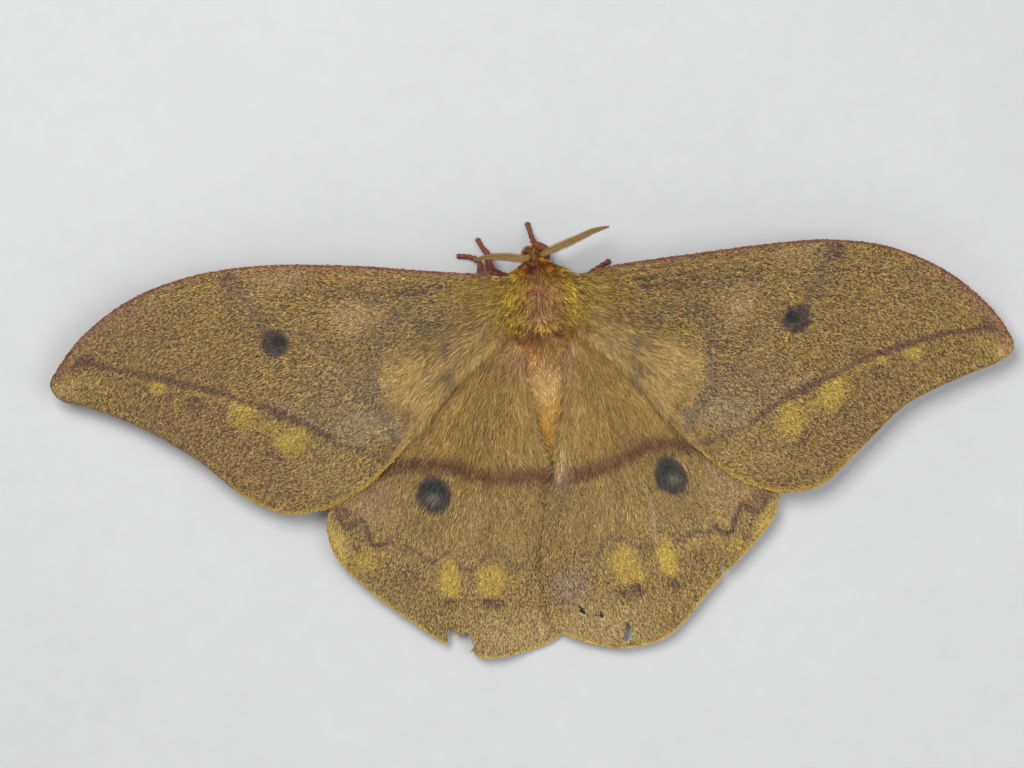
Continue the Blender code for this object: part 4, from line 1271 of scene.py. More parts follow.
    def scales(self, part: str, peak: float, seed: int, span: tuple[float, float] = (0.0, 1.0),
               under: bool = False) -> bpy.types.Object:
        """Build a coat of flat scales on one face.

        Args:
            part: what the coat is called after the wing.
            peak: the most scales for each square millimetre.
            seed: which of the spreads.
            span: the shares outwards that are covered.
            under: whether they lie on the under face.

        Returns:
            The coat's object.
        """
        def thin(spots: np.ndarray) -> np.ndarray:
            """Share of the scales that stand at each place."""
            return np.ones(len(spots)) if under else self.shown(spots) * (1.0 - 0.62 * self.hairiness(spots))

        rng = np.random.default_rng(seed)
        out, fore = self.scatter(peak, thin, seed, span)
        spots, along = self.spot(out, fore), self.lie(out, fore)
        along = turned(along, rng.normal(0.0, 0.26, len(out)) + 0.25 * drift(spots, 4.0, 21))
        across = leftwards(along)
        size = (UNDER_LENGTH if under else 1.0) * (1.0 + 0.35 * smooth_step((0.45 - out) / 0.3))
        length = (rng.normal(self.scale_length, 0.1, len(out)) * size)[:, None]
        width = rng.normal(self.scale_width, 0.022, (len(out), 1)) * (UNDER_WIDTH if under else 1.0)
        tip_lift = np.abs(rng.normal(0.06, 0.03, len(out))) + 0.02
        spots = self.tuck(spots, spots + along * length, 0.1)
        middle = spots + along * length * 0.55
        shape = kites(self.place(spots, -0.05, under), self.place(middle + across * width * 0.5, 0.0, under),
                      self.place(middle - across * width * 0.5, 0.0, under),
                      self.place(spots + along * length, tip_lift, under))
        if under:
            shape = shape[:, (0, 2, 1, 3)]
        light, dark, share = self.mixture(middle, fore)
        if under:
            light, dark, share = light * 0.95 + 6.0, dark + 14.0, share * 0.7 + 0.2
        else:
            light, dark = join_body(middle, light, dark)
        pick = np.where(rng.random(len(out)) < STRAY_SHARE, rng.random(len(out)), mixed(spots, rng) < share)
        tone = mix(light, dark, pick) * rng.normal(1.0, 0.1, (len(out), 1))
        tone += rng.normal(0.0, 5.0, tone.shape)
        coat = Coat(f"{self.name}_{part}")
        unwrap = np.column_stack(((out - span[0]) / (span[1] - span[0]), fore))
        coat.add(shape, KITE_FACES, tone, KITE_SHADE, unwrap, KITE_TILE)
        return coat.build()

    def hair(self, seed: int) -> bpy.types.Object:
        """Build the long hair near the root and on the hindwing's inner half.

        Args:
            seed: which of the spreads.

        Returns:
            The coat's object.
        """
        def thin(spots: np.ndarray) -> np.ndarray:
            """Share of the hairs that stand at each place."""
            return self.shown(spots) * self.hairiness(spots)

        rng = np.random.default_rng(seed)
        out, fore = self.scatter(self.hair_peak, thin, seed)
        if self.layer is Layer.FORE:
            more = rng.uniform(0.0, 0.7, FRINGE_HAIRS)
            out = np.concatenate((out, more))
            fore = np.concatenate((fore, np.abs(rng.normal(0.0, 0.03, FRINGE_HAIRS))))
        spots, along = self.spot(out, fore), self.lie(out, fore)
        fringe = smooth_step((3.0 - self.rear_away.at(spots)) / 2.5) * smooth_step((0.7 - out) / 0.25)
        root = smooth_step((9.5 - np.abs(spots[:, 0])) / 4.0)
        back = np.column_stack((0.35 * self.side.value * np.ones(len(out)), -np.ones(len(out))))
        if self.layer is Layer.FORE:
            along = unit(along + back * (0.9 * fringe + 0.8 * root)[:, None])
        else:
            inwards = 0.25 * fringe * smooth_step((-31.0 - spots[:, 1]) / 4.0)
            along = unit(along - np.array((self.side.value, 0.0)) * inwards[:, None])
        turn = rng.normal(0.0, 0.1 + 0.2 * root) + 0.2 * drift(spots, 4.0, 30)
        along = turned(along, turn + 0.35 * root * drift(spots, 1.8, 31))
        bend = rng.normal(0.0, 0.12 + 0.3 * root)[:, None]
        across = leftwards(along)
        fore_only = self.layer is Layer.FORE
        long = np.maximum(self.hairiness(spots), 1.15 * fringe * fore_only)
        length = ((0.8 + (2.0 - root * fore_only) * long) * rng.normal(1.0, 0.16, len(out)))[:, None]
        spots = self.tuck(spots, spots + along * length, 0.25)
        middle = spots + along * length * 0.5 + across * bend * length * 0.25
        tip = middle + (along + across * bend) * length * 0.5
        lift = np.abs(rng.normal(0.2, 0.1, len(out))) * (0.5 + 0.6 * long)
        flat = np.column_stack((across, np.zeros(len(out))))
        up = np.tile(UP, (len(out), 1))
        width = rng.normal(self.hair_width, 0.018, len(out))
        shape = hairs(self.place(spots, -0.04), self.place(middle, lift), self.place(tip, lift * 0.5 + 0.05),
                      flat, up, width)
        light, dark, share = self.mixture(middle, fore)
        if self.layer is Layer.HIND:
            share, dark = share + 0.06, dark * 0.85 + light * 0.15
        light, dark = join_body(middle, light, dark)
        fan = np.column_stack((fore * 60.0, out * 9.0))
        lock = 0.12 * drift(fan, 1.1, 32) + 0.12 * drift(fan, 3.1, 33)
        blend = np.clip(rng.normal(share, 0.25) + lock, 0.0, 1.0)
        tone = mix(light, dark, blend) * rng.normal(0.84, 0.06, (len(out), 1)) * (1 + 0.25 * lock[:, None])
        coat = Coat(f"{self.name}_hair")
        coat.add(shape, HAIR_FACES, tone, HAIR_SHADE, np.column_stack((out, fore)), HAIR_TILE)
        return coat.build()

    def build(self) -> None:
        """Build every piece of the wing and dress it."""
        WING_SKIN.dress(self.membrane(), self.name)
        if self.layer is Layer.FORE:
            WING_SCALES.dress(self.scales("inner_scales", self.scale_peak, 1, (0.0, 0.6)))
            WING_SCALES.dress(self.scales("outer_scales", self.scale_peak, 2, (0.6, 1.0)))
            WING_HAIR.dress(self.hair(3))
        else:
            WING_SCALES.dress(self.scales("scales", self.scale_peak, 4))
            WING_HAIR.dress(self.hair(5))
        WING_SCALES.dress(self.scales("under_scales", self.under_peak, 6, under=True))


# Veins, drawn on the left wings, and landmarks that both wings show: first left, then right

FORE_VEINS = (
    ((-6.0, 2.4), (-30.0, 5.5), (-48.0, 6.0), (-60.0, 4.4)),
    ((-6.0, 1.2), (-24.0, 3.4), (-38.0, 2.6), (-56.0, 1.2), (-74.6, -6.8)),
    ((-38.0, 2.6), (-41.6, -2.6), (-40.0, -8.2)),
    ((-40.6, -0.4), (-56.0, -4.4), (-71.2, -11.6)),
    ((-41.2, -4.6), (-54.0, -10.2), (-63.4, -15.3)),
    ((-6.0, -0.6), (-20.0, -4.4), (-31.0, -8.2), (-40.0, -8.2), (-49.5, -14.6), (-57.0, -19.4)),
    ((-34.0, -8.6), (-43.0, -17.4), (-50.6, -24.6)),
    ((-26.0, -6.6), (-35.0, -18.0), (-43.4, -29.3)),
    ((-6.0, -2.0), (-17.0, -9.4), (-27.0, -20.0), (-36.0, -29.7)),
)
HIND_VEINS = (
    ((-4.4, -3.6), (-16.0, -10.0), (-27.0, -20.4), (-34.6, -31.0)),
    ((-4.4, -5.0), (-11.0, -11.6), (-16.4, -20.0), (-26.0, -29.4), (-34.6, -35.6)),
    ((-16.4, -20.0), (-18.6, -25.0), (-18.2, -30.0)),
    ((-18.2, -23.0), (-26.4, -34.0), (-31.8, -40.4)),
    ((-18.7, -26.4), (-24.6, -37.0), (-27.8, -44.6)),
    ((-4.2, -7.0), (-9.0, -18.0), (-14.0, -27.4), (-18.2, -30.0), (-21.4, -40.0), (-22.4, -48.6)),
    ((-14.0, -27.4), (-16.0, -40.0), (-16.6, -51.4)),
    ((-10.4, -21.0), (-10.2, -38.0), (-10.4, -54.2)),
    ((-3.8, -9.0), (-4.6, -24.0), (-4.0, -40.0), (-3.4, -53.0)),
)
FORE_ANCHORS = (
    ((-6.0, 0.0), (-76.8, -8.4), (-39.4, -30.5), (-41.6, -4.3), (-48.1, 5.7), (-28.7, -1.1),
     (-22.0, -11.9), (-15.0, -11.4), (-18.6, -2.8), (-26.9, -10.1), (-60.5, -9.7), (-47.3, -14.9),
     (-40.0, -19.4), (-28.7, -21.9), (-50.7, -11.3), (-36.8, -17.5), (-63.0, -7.7), (-71.0, -5.7),
     (-43.6, -4.4), (-39.6, -4.3)),
    ((6.0, 0.0), (72.8, -11.5), (35.3, -32.3), (39.2, -5.4), (45.8, 5.0), (30.9, -2.4),
     (20.8, -11.9), (13.9, -12.4), (17.4, -4.0), (25.7, -12.5), (57.1, -11.6), (44.3, -17.1),
     (37.9, -21.0), (26.1, -22.9), (48.9, -12.1), (35.6, -18.1), (61.6, -9.1), (69.0, -8.7),
     (41.4, -5.6), (37.0, -5.4)))
HIND_ANCHORS = (
    ((-5.0, -5.0), (-34.9, -31.5), (-12.1, -55.3), (-18.5, -29.4), (-17.3, -24.8), (-10.4, -26.9),
     (-1.1, -27.2), (-17.0, -42.9), (-10.6, -43.1), (-17.2, -46.2), (-10.2, -46.8), (-28.4, -36.3),
     (-24.4, -24.9), (-20.9, -29.4), (-16.1, -29.4)),
    ((5.0, -5.0), (34.9, -32.3), (9.0, -55.0), (18.6, -28.6), (17.1, -23.5), (9.9, -25.8),
     (1.2, -27.8), (17.3, -41.2), (10.6, -41.4), (18.2, -45.4), (11.4, -46.4), (27.1, -37.9),
     (22.3, -24.5), (21.0, -28.5), (16.2, -28.7)))


def wings() -> list[Wing]:
    """The four wings with their own outlines, as the photograph shows them.

    Returns:
        Both forewings, then both hindwings, the left one first.
    """
    fore_left = Wing(
        Layer.FORE, Side.LEFT,
        ((-3.5, 3.2), (-8, 4.2), (-15.5, 5.2), (-30.9, 7.2), (-44.9, 7.9), (-54.4, 6.9), (-63.9, 3.9),
         (-72.1, -1.7), (-76.8, -7.4)),
        ((-76.8, -7.4), (-77.1, -8.9), (-75.8, -10.9), (-71.2, -12.5), (-64.3, -15.6), (-55.3, -21.3),
         (-47.9, -27.8), (-41.9, -30.8), (-35.4, -30.6)),
        ((-35.4, -30.6), (-28.4, -27.0), (-22.2, -21.2), (-12.5, -10.5), (-3.5, -3.2)),
        FORE_VEINS, FORE_ANCHORS, FORE_PATTERN)
    fore_right = Wing(
        Layer.FORE, Side.RIGHT,
        ((3.5, 3.0), (7.5, 3.8), (12, 4.6), (23.6, 5.6), (37.7, 6.6), (45.5, 6.6), (54.8, 4.9), (63.9, 0.2),
         (70.5, -6.3), (73, -10.6)),
        ((73, -10.6), (72.9, -12.2), (71.1, -13.7), (64.4, -16), (55.6, -19.8), (48.2, -26.1), (41.6, -31.5),
         (35.3, -32.3)),
        ((35.3, -32.3), (29.2, -29.9), (23.1, -24.8), (12.5, -11.5), (3.5, -3.2)),
        FORE_VEINS, FORE_ANCHORS, FORE_PATTERN)
    hind_left = Wing(
        Layer.HIND, Side.LEFT,
        ((-3.0, -2.4), (-7, -2.8), (-14, -5.8), (-24, -13.5), (-31.5, -22.5), (-35.2, -31.2)),
        ((-35.2, -31.2), (-35.5, -33.9), (-34.3, -38.2), (-29.4, -43.8), (-23.4, -48.8), (-18.4, -52.6),
         (-13.4, -55.0), (-12.1, -55.4), (-6.6, -54.9), (-0.6, -52.9), (1.6, -50.0)),
        ((1.6, -50.0), (2.2, -42), (1.2, -32), (-0.2, -25.2), (-1.25, -20.8), (-2.6, -15.6), (-3.1, -9.5),
         (-2, -5.5)),
        HIND_VEINS, HIND_ANCHORS, HIND_PATTERN,
        torn=(((-18.6, -53.6), (-18.15, -52.5), (-17.7, -51.2), (-17.3, -50.3), (-16.9, -50.1),
               (-16.6, -50.9), (-16.2, -51.6), (-15.4, -51.3), (-14.4, -51.2), (-14.2, -52.3),
               (-13.6, -53.2), (-14.2, -54.0), (-13.5, -54.7), (-13.1, -56.5), (-18.0, -57.0)),),
        cover=fore_left.outline())
    hind_right = Wing(
        Layer.HIND, Side.RIGHT,
        ((3.0, -2.4), (7, -2.8), (14, -5.8), (23.5, -13.0), (31, -22.5), (35.2, -32.8)),
        ((35.2, -32.8), (34.2, -36), (30.1, -40.7), (24.4, -46), (18.5, -52.2), (15.3, -54.2), (9, -55),
         (2.8, -53.4), (0.2, -52.2)),
        ((0.2, -52.2), (-1.4, -50.4), (-2.2, -44.7), (-2.4, -40.4), (-0.7, -30.4), (0.6, -25.2),
         (1.25, -20.8), (2.6, -15.6), (3.1, -9.5), (2, -5.5)),
        HIND_VEINS, HIND_ANCHORS, HIND_PATTERN,
        torn=(((10.2, -50.9), (10.6, -51.2), (11.2, -52.5), (10.7, -53.4), (10.2, -54.2), (9.7, -54.1),
               (10.0, -52.4)),
              ((2.9, -48.0), (3.4, -48.1), (4.3, -49.5), (4.0, -49.8), (3.2, -49.0)),
              ((6.0, -49.0), (6.7, -49.2), (6.9, -50.2), (6.3, -50.3)),
              ((25.2, -42.8), (25.6, -42.7), (26.1, -43.8), (27.0, -45.4), (26.2, -45.6), (25.5, -44.2))),
        # The overlap's dull foot, a painted highlight along its raised rim, a worn patch and the fold
        own=(Mark(((2.3, -27.0), (1.5, -29.6)), 0.8, (180, 152, 124), (130, 106, 92), 0.5, 0.7, soft=0.8),
             # Painted highlight on the raised inner edge where this wing lies over the left one
             Mark(((1.75, -23.6), (1.4, -25.7), (0.9, -27.8)), 0.6, (224, 194, 132), (186, 156, 100),
                  0.85, 0.8, soft=0.9),
             Mark(((1.8, -44.6),), 2.8, (200, 170, 130), (124, 106, 98), 0.46, 0.8),
             Mark(((15.3, -32.1), (15.5, -38.4)), 0.3, (212, 182, 146), (150, 126, 108), 0.65, 0.7)),
        cover=fore_right.outline())
    return [fore_left, fore_right, hind_left, hind_right]


# Body, legs and feelers


def rounded(share: np.ndarray, end: float) -> np.ndarray:
    """Ease a radius to nothing at both ends, as a quarter circle does."""
    near = np.clip(np.minimum(share, 1.0 - share) / end, 0.0, 1.0)
    return np.sqrt(np.clip(1.0 - (1.0 - near) ** 2, 0.0, 1.0))


@dataclass
class Form:
    """A closed rounded form round a middle line, with its own unwrap along and around it."""

    line: np.ndarray
    wide: np.ndarray
    high: np.ndarray
    across: np.ndarray

    def place(self, along: np.ndarray, turn: np.ndarray) -> np.ndarray:
        """Places on the surface for shares along the line and turns from its top.

        Args:
            along: shares along the line.
            turn: angles in radians.

        Returns:
            Rows of x, y, z.
        """
        middle, across = sample(self.line, along), unit(sample(self.across, along))
        step = 1.0 / (len(self.line) - 1)
        forward = unit(sample(self.line, along + step) - sample(self.line, along - step))
        up = unit(np.cross(forward, across))
        wide = sample(self.wide[:, None], along) * np.sin(turn)[:, None]
        high = sample(self.high[:, None], along) * np.cos(turn)[:, None]
        return middle + across * wide + up * high

    def axes(self, along: np.ndarray, turn: np.ndarray) -> tuple[np.ndarray, np.ndarray, np.ndarray]:
        """Unit vectors outwards, along and around at each place.

        Args:
            along: shares along the line.
            turn: angles in radians.

        Returns:
            Three sets of vectors, one row for each place.
        """
        ahead, behind = np.minimum(along + 0.004, 0.999), np.maximum(along - 0.004, 0.001)
        ahead = self.place(ahead, turn) - self.place(behind, turn)
        round_ = self.place(along, turn + 0.02) - self.place(along, turn - 0.02)
        out = unit(np.cross(ahead, round_))
        back = levelled(ahead, out)
        return out, back, unit(np.cross(out, back))

    def skin(self, name: str, around: int, rings: int) -> tuple[bpy.types.Object, np.ndarray]:
        """Build the closed skin from a ball whose rings follow the form, and give its places too.

        Args:
            name: what it is called.
            around: how many points go round.
            rings: how many rings there are.

        Returns:
            The skin's object and its places.
        """
        bm = bmesh.new()
        bmesh.ops.create_uvsphere(bm, u_segments=around, v_segments=rings, radius=1.0)
        ball = np.array([vert.co for vert in bm.verts])
        along = np.arccos(np.clip(ball[:, 2], -1.0, 1.0)) / math.pi
        places = self.place(along, np.arctan2(ball[:, 0], ball[:, 1]))
        places[:, 2] = np.maximum(places[:, 2], 0.03)
        for vert, place in zip(bm.verts, places):
            vert.co = place
        bmesh.ops.recalc_face_normals(bm, faces=bm.faces[:])
        return to_object(name, bm), places

    def roots(self, density: Measure, peak: float, seed: int) -> tuple[np.ndarray, np.ndarray]:
        """Spread roots over the surface by how dense they are to stand at each place.

        Args:
            density: gives tufts for each square millimetre.
            peak: the most of them.
            seed: which random draws.

        Returns:
            Shares along the line and turns.
        """
        rng = np.random.default_rng(seed)
        reach = np.linalg.norm(np.diff(self.line, axis=0), axis=1).sum()
        girth = 2.0 * math.pi * np.sqrt((self.wide ** 2 + self.high ** 2) / 2.0)
        tries = int(peak * reach * girth.max())
        along = rng.uniform(0.004, 0.996, tries)
        turn = rng.uniform(-math.pi, math.pi, tries)
        size = sample(girth[:, None], along)[:, 0] / girth.max()
        keep = rng.random(tries) < size * density(self.place(along, turn)) / peak
        return along[keep], turn[keep]


@dataclass
class Groom:
    """How fur lies on a form; each coat overrides what differs."""

    peak: float = 20.0
    lift: float = 0.35
    droop: float = 0.25
    width: float = 0.2
    clump: float = 1.1
    gather: float = 0.45
    swirl: float = 0.3
    curl: float = 0.05

    def density(self, places: np.ndarray) -> np.ndarray:
        """Tufts for each square millimetre."""
        return np.full(len(places), self.peak)

    def length(self, places: np.ndarray) -> np.ndarray:
        """How long the tufts are."""
        return np.full(len(places), 1.0)

    def rise(self, places: np.ndarray) -> np.ndarray:
        """How steeply the tufts stand up from the skin."""
        return np.full(len(places), self.lift)

    def contrast(self, places: np.ndarray) -> np.ndarray:
        """How much whole locks differ in tone."""
        return np.full(len(places), 0.09)

    def lie(self, places: np.ndarray, out: np.ndarray, back: np.ndarray, aside: np.ndarray) -> np.ndarray:
        """Which way the tufts lie along the skin."""
        return back

    def tones(self, places: np.ndarray) -> tuple[np.ndarray, np.ndarray, np.ndarray]:
        """Light tone, dark tone and share of light tufts."""
        raise NotImplementedError

    def grow(self, name: str, form: Form, seed: int) -> bpy.types.Object:
        """Build the coat on a form.

        Args:
            name: what it is called.
            form: what it grows on.
            seed: which random draws.

        Returns:
            The coat's object.
        """
        rng = np.random.default_rng(seed)
        along, turn = form.roots(self.density, self.peak, seed)
        root = form.place(along, turn)
        out, back, aside = form.axes(along, turn)
        lie = levelled(self.lie(root, out, back, aside), out)
        side = np.cross(out, lie)
        flat = np.column_stack((root[:, 0] + 0.6 * root[:, 2], root[:, 1]))
        swirl = self.swirl * (0.6 * drift(flat, 2.2, seed) + 0.8 * drift(flat, 0.9, seed + 1))
        swirl = swirl + rng.normal(0.0, 0.12, len(root))
        lie = unit(lie * np.cos(swirl)[:, None] + side * np.sin(swirl)[:, None])
        side = np.cross(out, lie)
        length = (self.length(root) * rng.normal(1.0, 0.14, len(root)))[:, None]
        lift = (self.rise(root) * rng.normal(1.0, 0.25, len(root)))[:, None]
        crimp = rng.normal(0.0, self.curl, (len(root), 1))
        middle = root + length * (0.5 * lie + 0.5 * lift * out + crimp * side)
        tip = root + length * (lie + (lift - self.droop) * out)
        count = max(8, int(len(root) / (self.peak * self.clump ** 2)))
        chosen = rng.choice(len(root), min(count, len(root)), replace=False)
        nearest = np.concatenate([
            np.argmin(((block[:, None, :] - root[None, chosen, :]) ** 2).sum(-1), axis=1)
            for block in np.array_split(root, max(1, len(root) // 1500))])
        goal = tip[chosen][nearest]
        tip = tip + (goal - tip) * self.gather * rng.uniform(0.5, 1.0, (len(root), 1))
        middle = middle + (goal - tip) * self.gather * 0.25
        for points in (tip, middle):
            points[:, 2] = np.maximum(points[:, 2], FLOOR_GAP)
        light, dark, share = self.tones(root)
        locks = (rng.normal(0.0, self.contrast(root[chosen])))[nearest]
        blend = np.clip(rng.normal(share, 0.36) + locks, 0.0, 1.0)
        tone = mix(light, dark, blend) * rng.normal(1.0, 0.1, (len(root), 1)) * (1 + 0.4 * locks[:, None])
        width = self.width * rng.normal(1.0, 0.15, len(root)) * np.clip(length[:, 0] / 1.2, 0.45, 1.0)
        coat = Coat(name)
        shape = hairs(root - out * 0.06, middle, tip, side, out, width)
        unwrap = np.column_stack((along, turn / (2 * math.pi) + 0.5))
        coat.add(shape, HAIR_FACES, tone, HAIR_SHADE, unwrap, HAIR_TILE)
        return coat.build()


BODY_FUR = Finish("Body fur", "gold_fur", 2400.0, 0.12, 0.6, 0.04)
BODY_SKIN = Finish("Body skin", "gold_fur", 1500.0, 0.25, 0.7, 0.0, bump=0.5)
LEG_SKIN = Finish("Leg skin", "leg_fur", 1800.0, 0.25, 0.5, 0.0, bump=0.5)
LEG_FUR = Finish("Leg fur", "leg_fur", 2400.0, 0.12, 0.6, 0.04)
FEELER_SKIN = Finish("Feeler shaft", "feeler", 2600.0, 0.2, 0.5, 0.0, bump=0.4)
FEELER_COMB = Finish("Feeler comb", "feeler", 3000.0, 0.12, 0.55, 0.03)
CLAW = Finish("Claw", "leg_fur", 3000.0, 0.2, 0.25, 0.0)


class BodyGroom(Groom):
    """Fur of the head, the collar, the thorax and the abdomen."""

    def density(self, places: np.ndarray) -> np.ndarray:
        """Denser on the head."""
        top = np.interp(places[:, 1], (-24, -12, -9, 4, 6, 8.5), (20, 22, 34, 34, 40, 44))
        return top * (1.0 - 0.6 * smooth_step((5.4 - places[:, 2]) / 2.0) * (places[:, 1] < 4.0))

    def length(self, places: np.ndarray) -> np.ndarray:
        """Long on the thorax, short on the face and under the body.

        Args:
            places: rows of x, y, z.

        Returns:
            Lengths in millimetres.
        """
        top = np.interp(places[:, 1], (-30, -20, -12, -9, -4, 2, 4.5, 6, 7.5, 8.6),
                        (0.8, 0.9, 1.1, 1.6, 1.7, 1.6, 1.05, 0.95, 0.85, 0.6))
        top = top + 0.9 * smooth_step((np.abs(places[:, 0]) - 3.0) / 1.6) * (places[:, 1] < 3.6)
        under = smooth_step((4.6 - places[:, 2]) / 3.0)
        return top * (1.0 - 0.45 * under)

    def rise(self, places: np.ndarray) -> np.ndarray:
        """Ruffled on the head, flat on the abdomen."""
        edge = smooth_step((np.abs(places[:, 0]) - 2.0) / 1.5) * smooth_step((places[:, 1] - 2.6) / 0.8)
        return np.interp(places[:, 1], (-12.0, -8.0, 5.0, 6.5), (0.2, 0.34, 0.4, 0.8)) + 0.35 * edge

    def contrast(self, places: np.ndarray) -> np.ndarray:
        """Golden and rust locks on the head and the collar."""
        return np.interp(places[:, 1], (3.4, 6.0), (0.1, 0.38))

    def lie(self, places: np.ndarray, out: np.ndarray, back: np.ndarray, aside: np.ndarray) -> np.ndarray:
        """Back along the body, outwards over the wing roots, forwards and down on the face.

        Args:
            places: rows of x, y, z.
            out: outwards at each place.
            back: backwards along the skin.
            aside: around the body.

        Returns:
            One direction for each place.
        """
        x, y = places[:, 0], places[:, 1]
        spread = np.clip(x / 4.2, -1.0, 1.0) * smooth_step((y + 8.0) / 3.0) * smooth_step((6.2 - y) / 2.0)
        flow = back.copy()
        flow[:, 0] += 1.9 * spread
        face = smooth_step((y - 5.9) / 0.8)[:, None]
        forward = np.column_stack((1.2 * (x + 0.8), y - 6.9, np.full(len(x), -0.1)))
        return flow * (1 - face) + unit(forward) * face

    def tones(self, places: np.ndarray) -> tuple[np.ndarray, np.ndarray, np.ndarray]:
        """Golden olive with a pink-brown middle, a rust collar and a pale orange abdomen.

        Args:
            places: rows of x, y, z.

        Returns:
            Light tones, dark tones and the share of light ones.
        """
        light, dark = body_tones(places)
        under = 0.8 * smooth_step((4.4 - places[:, 2]) / 2.0)
        lay_over(light, (186.0, 144.0, 104.0), under)
        lay_over(dark, (134.0, 92.0, 66.0), under)
        return light, dark, np.full(len(places), 0.56)


@dataclass
class Body:
    """Head, thorax and abdomen under one skin and one fur, with separate eyes."""

    stations: Line = (
        (-0.8, 8.1, 5.9, 0.05, 0.05), (-0.8, 7.9, 5.9, 0.8, 1.1), (-0.8, 7.4, 5.95, 1.25, 1.8),
        (-0.75, 6.7, 6.0, 1.4, 2.1), (-0.6, 6.0, 6.15, 1.4, 2.0), (-0.4, 5.3, 6.3, 2.2, 2.1),
        (-0.2, 4.5, 6.4, 3.4, 2.7), (0.0, 3.4, 6.5, 4.7, 3.2), (0.0, 1.0, 6.65, 5.6, 3.7),
        (0.0, -2.5, 6.65, 5.6, 3.75), (0.0, -5.6, 6.3, 4.6, 3.4), (0.0, -8.4, 5.7, 4.1, 3.05),
        (0.0, -11.0, 5.2, 4.0, 3.05), (0.0, -14.0, 4.9, 3.9, 3.1), (0.0, -18.5, 4.5, 3.4, 2.9),
        (0.0, -23.0, 4.0, 2.7, 2.3), (0.0, -28.0, 3.2, 1.7, 1.4), (0.0, -30.6, 2.75, 0.8, 0.6),
        (0.0, -31.2, 2.6, 0.05, 0.05))
    eye_radius: float = 0.92
    # How much darker the skin is painted than its fur: painted shade under the fur
    skin_shade: float = 0.72
    eye_spots: tuple[Tone, Tone] = ((-1.76, 7.2, 5.25), (0.36, 7.2, 5.25))

    def form(self) -> Form:
        """The rings of the body from the face to the tail.

        Returns:
            The body's form.
        """
        rings = smooth_line(self.stations, 500)
        return Form(rings[:, :3], np.maximum(rings[:, 3], 0.02), np.maximum(rings[:, 4], 0.02),
                    np.tile((1.0, 0.0, 0.0), (len(rings), 1)))

    def build(self) -> None:
        """Build the skin, the fur and the eyes and dress them."""
        form = self.form()
        groom = BodyGroom(peak=54.0, width=0.112, clump=0.42, gather=0.2, swirl=0.8, curl=0.24)
        skin, places = form.skin("body_skin", 96, 160)
        # The skin takes the fur's tones darkened: painted shade under the fur
        paint(skin.data, mix(*groom.tones(places)) * self.skin_shade)
        BODY_SKIN.dress(skin, "head", "thorax", "abdomen")
        BODY_FUR.dress(groom.grow("body_fur", form, 41))
        for side, spot in zip(Side, self.eye_spots):
            self.eye(side, np.array(spot))

    def eye(self, side: Side, spot: np.ndarray) -> None:
        """Build one dark compound eye.

        Args:
            side: left or right.
            spot: its middle.
        """
        bm = bmesh.new()
        bmesh.ops.create_icosphere(bm, subdivisions=5, radius=self.eye_radius)
        bmesh.ops.scale(bm, verts=bm.verts, vec=(0.92, 1.0, 1.05))
        bmesh.ops.translate(bm, verts=bm.verts, vec=spot)
        name = f"eye_{side.name.lower()}"
        eye = to_object(f"{name}_facets", bm)
        paint(eye.data, np.tile((34.0, 21.0, 16.0), (len(eye.data.vertices), 1)))
        EYE_FACETS.dress(eye, name)


class FacetFinish(Finish):
    """Glossy eye whose bump is a net of tiny facets."""

    def material(self) -> bpy.types.Material:
        """Add the net of facets to the plain material.

        Returns:
            The material.
        """
        known = bpy.data.materials.get(self.name)
        finish = super().material()
        if known:
            return finish
        nodes, links = finish.node_tree.nodes, finish.node_tree.links
        net = nodes.new("ShaderNodeTexVoronoi")
        net.inputs["Scale"].default_value = self.grain
        place = next(node for node in nodes if node.type == "TEX_COORD")
        bump = next(node for node in nodes if node.type == "BUMP")
        bump.invert = True
        links.new(place.outputs["Object"], net.inputs["Vector"])
        links.new(net.outputs["Distance"], bump.inputs["Height"])
        return finish


EYE_FACETS = FacetFinish("Eye facets", "eye_gloss", 9000.0, 0.3, 0.3, 0.0, bump=0.4, specular=0.15, coat=0.08)


class LegGroom(Groom):
    """Short brick-brown hair, sparse and tiny on the foot."""

    def density(self, places: np.ndarray) -> np.ndarray:
        """Denser on the tiny hairs of the foot."""
        return np.interp(places[:, 2], (0.8, 2.2), (30.0, 24.0))

    def length(self, places: np.ndarray) -> np.ndarray:
        """Short on the foot, longer towards the body."""
        return np.interp(places[:, 2], (0.5, 1.0, 2.2, 3.4), (0.26, 0.34, 0.55, 0.9))

    def tones(self, places: np.ndarray) -> tuple[np.ndarray, np.ndarray, np.ndarray]:
        """Brick brown with a little rose.

        Args:
            places: rows of x, y, z.

        Returns:
            Light tones, dark tones and the share of light ones.
        """
        light = np.tile((138.0, 74.0, 50.0), (len(places), 1))
        dark = np.tile((92.0, 42.0, 28.0), (len(places), 1))
        return light, dark, np.full(len(places), 0.5)


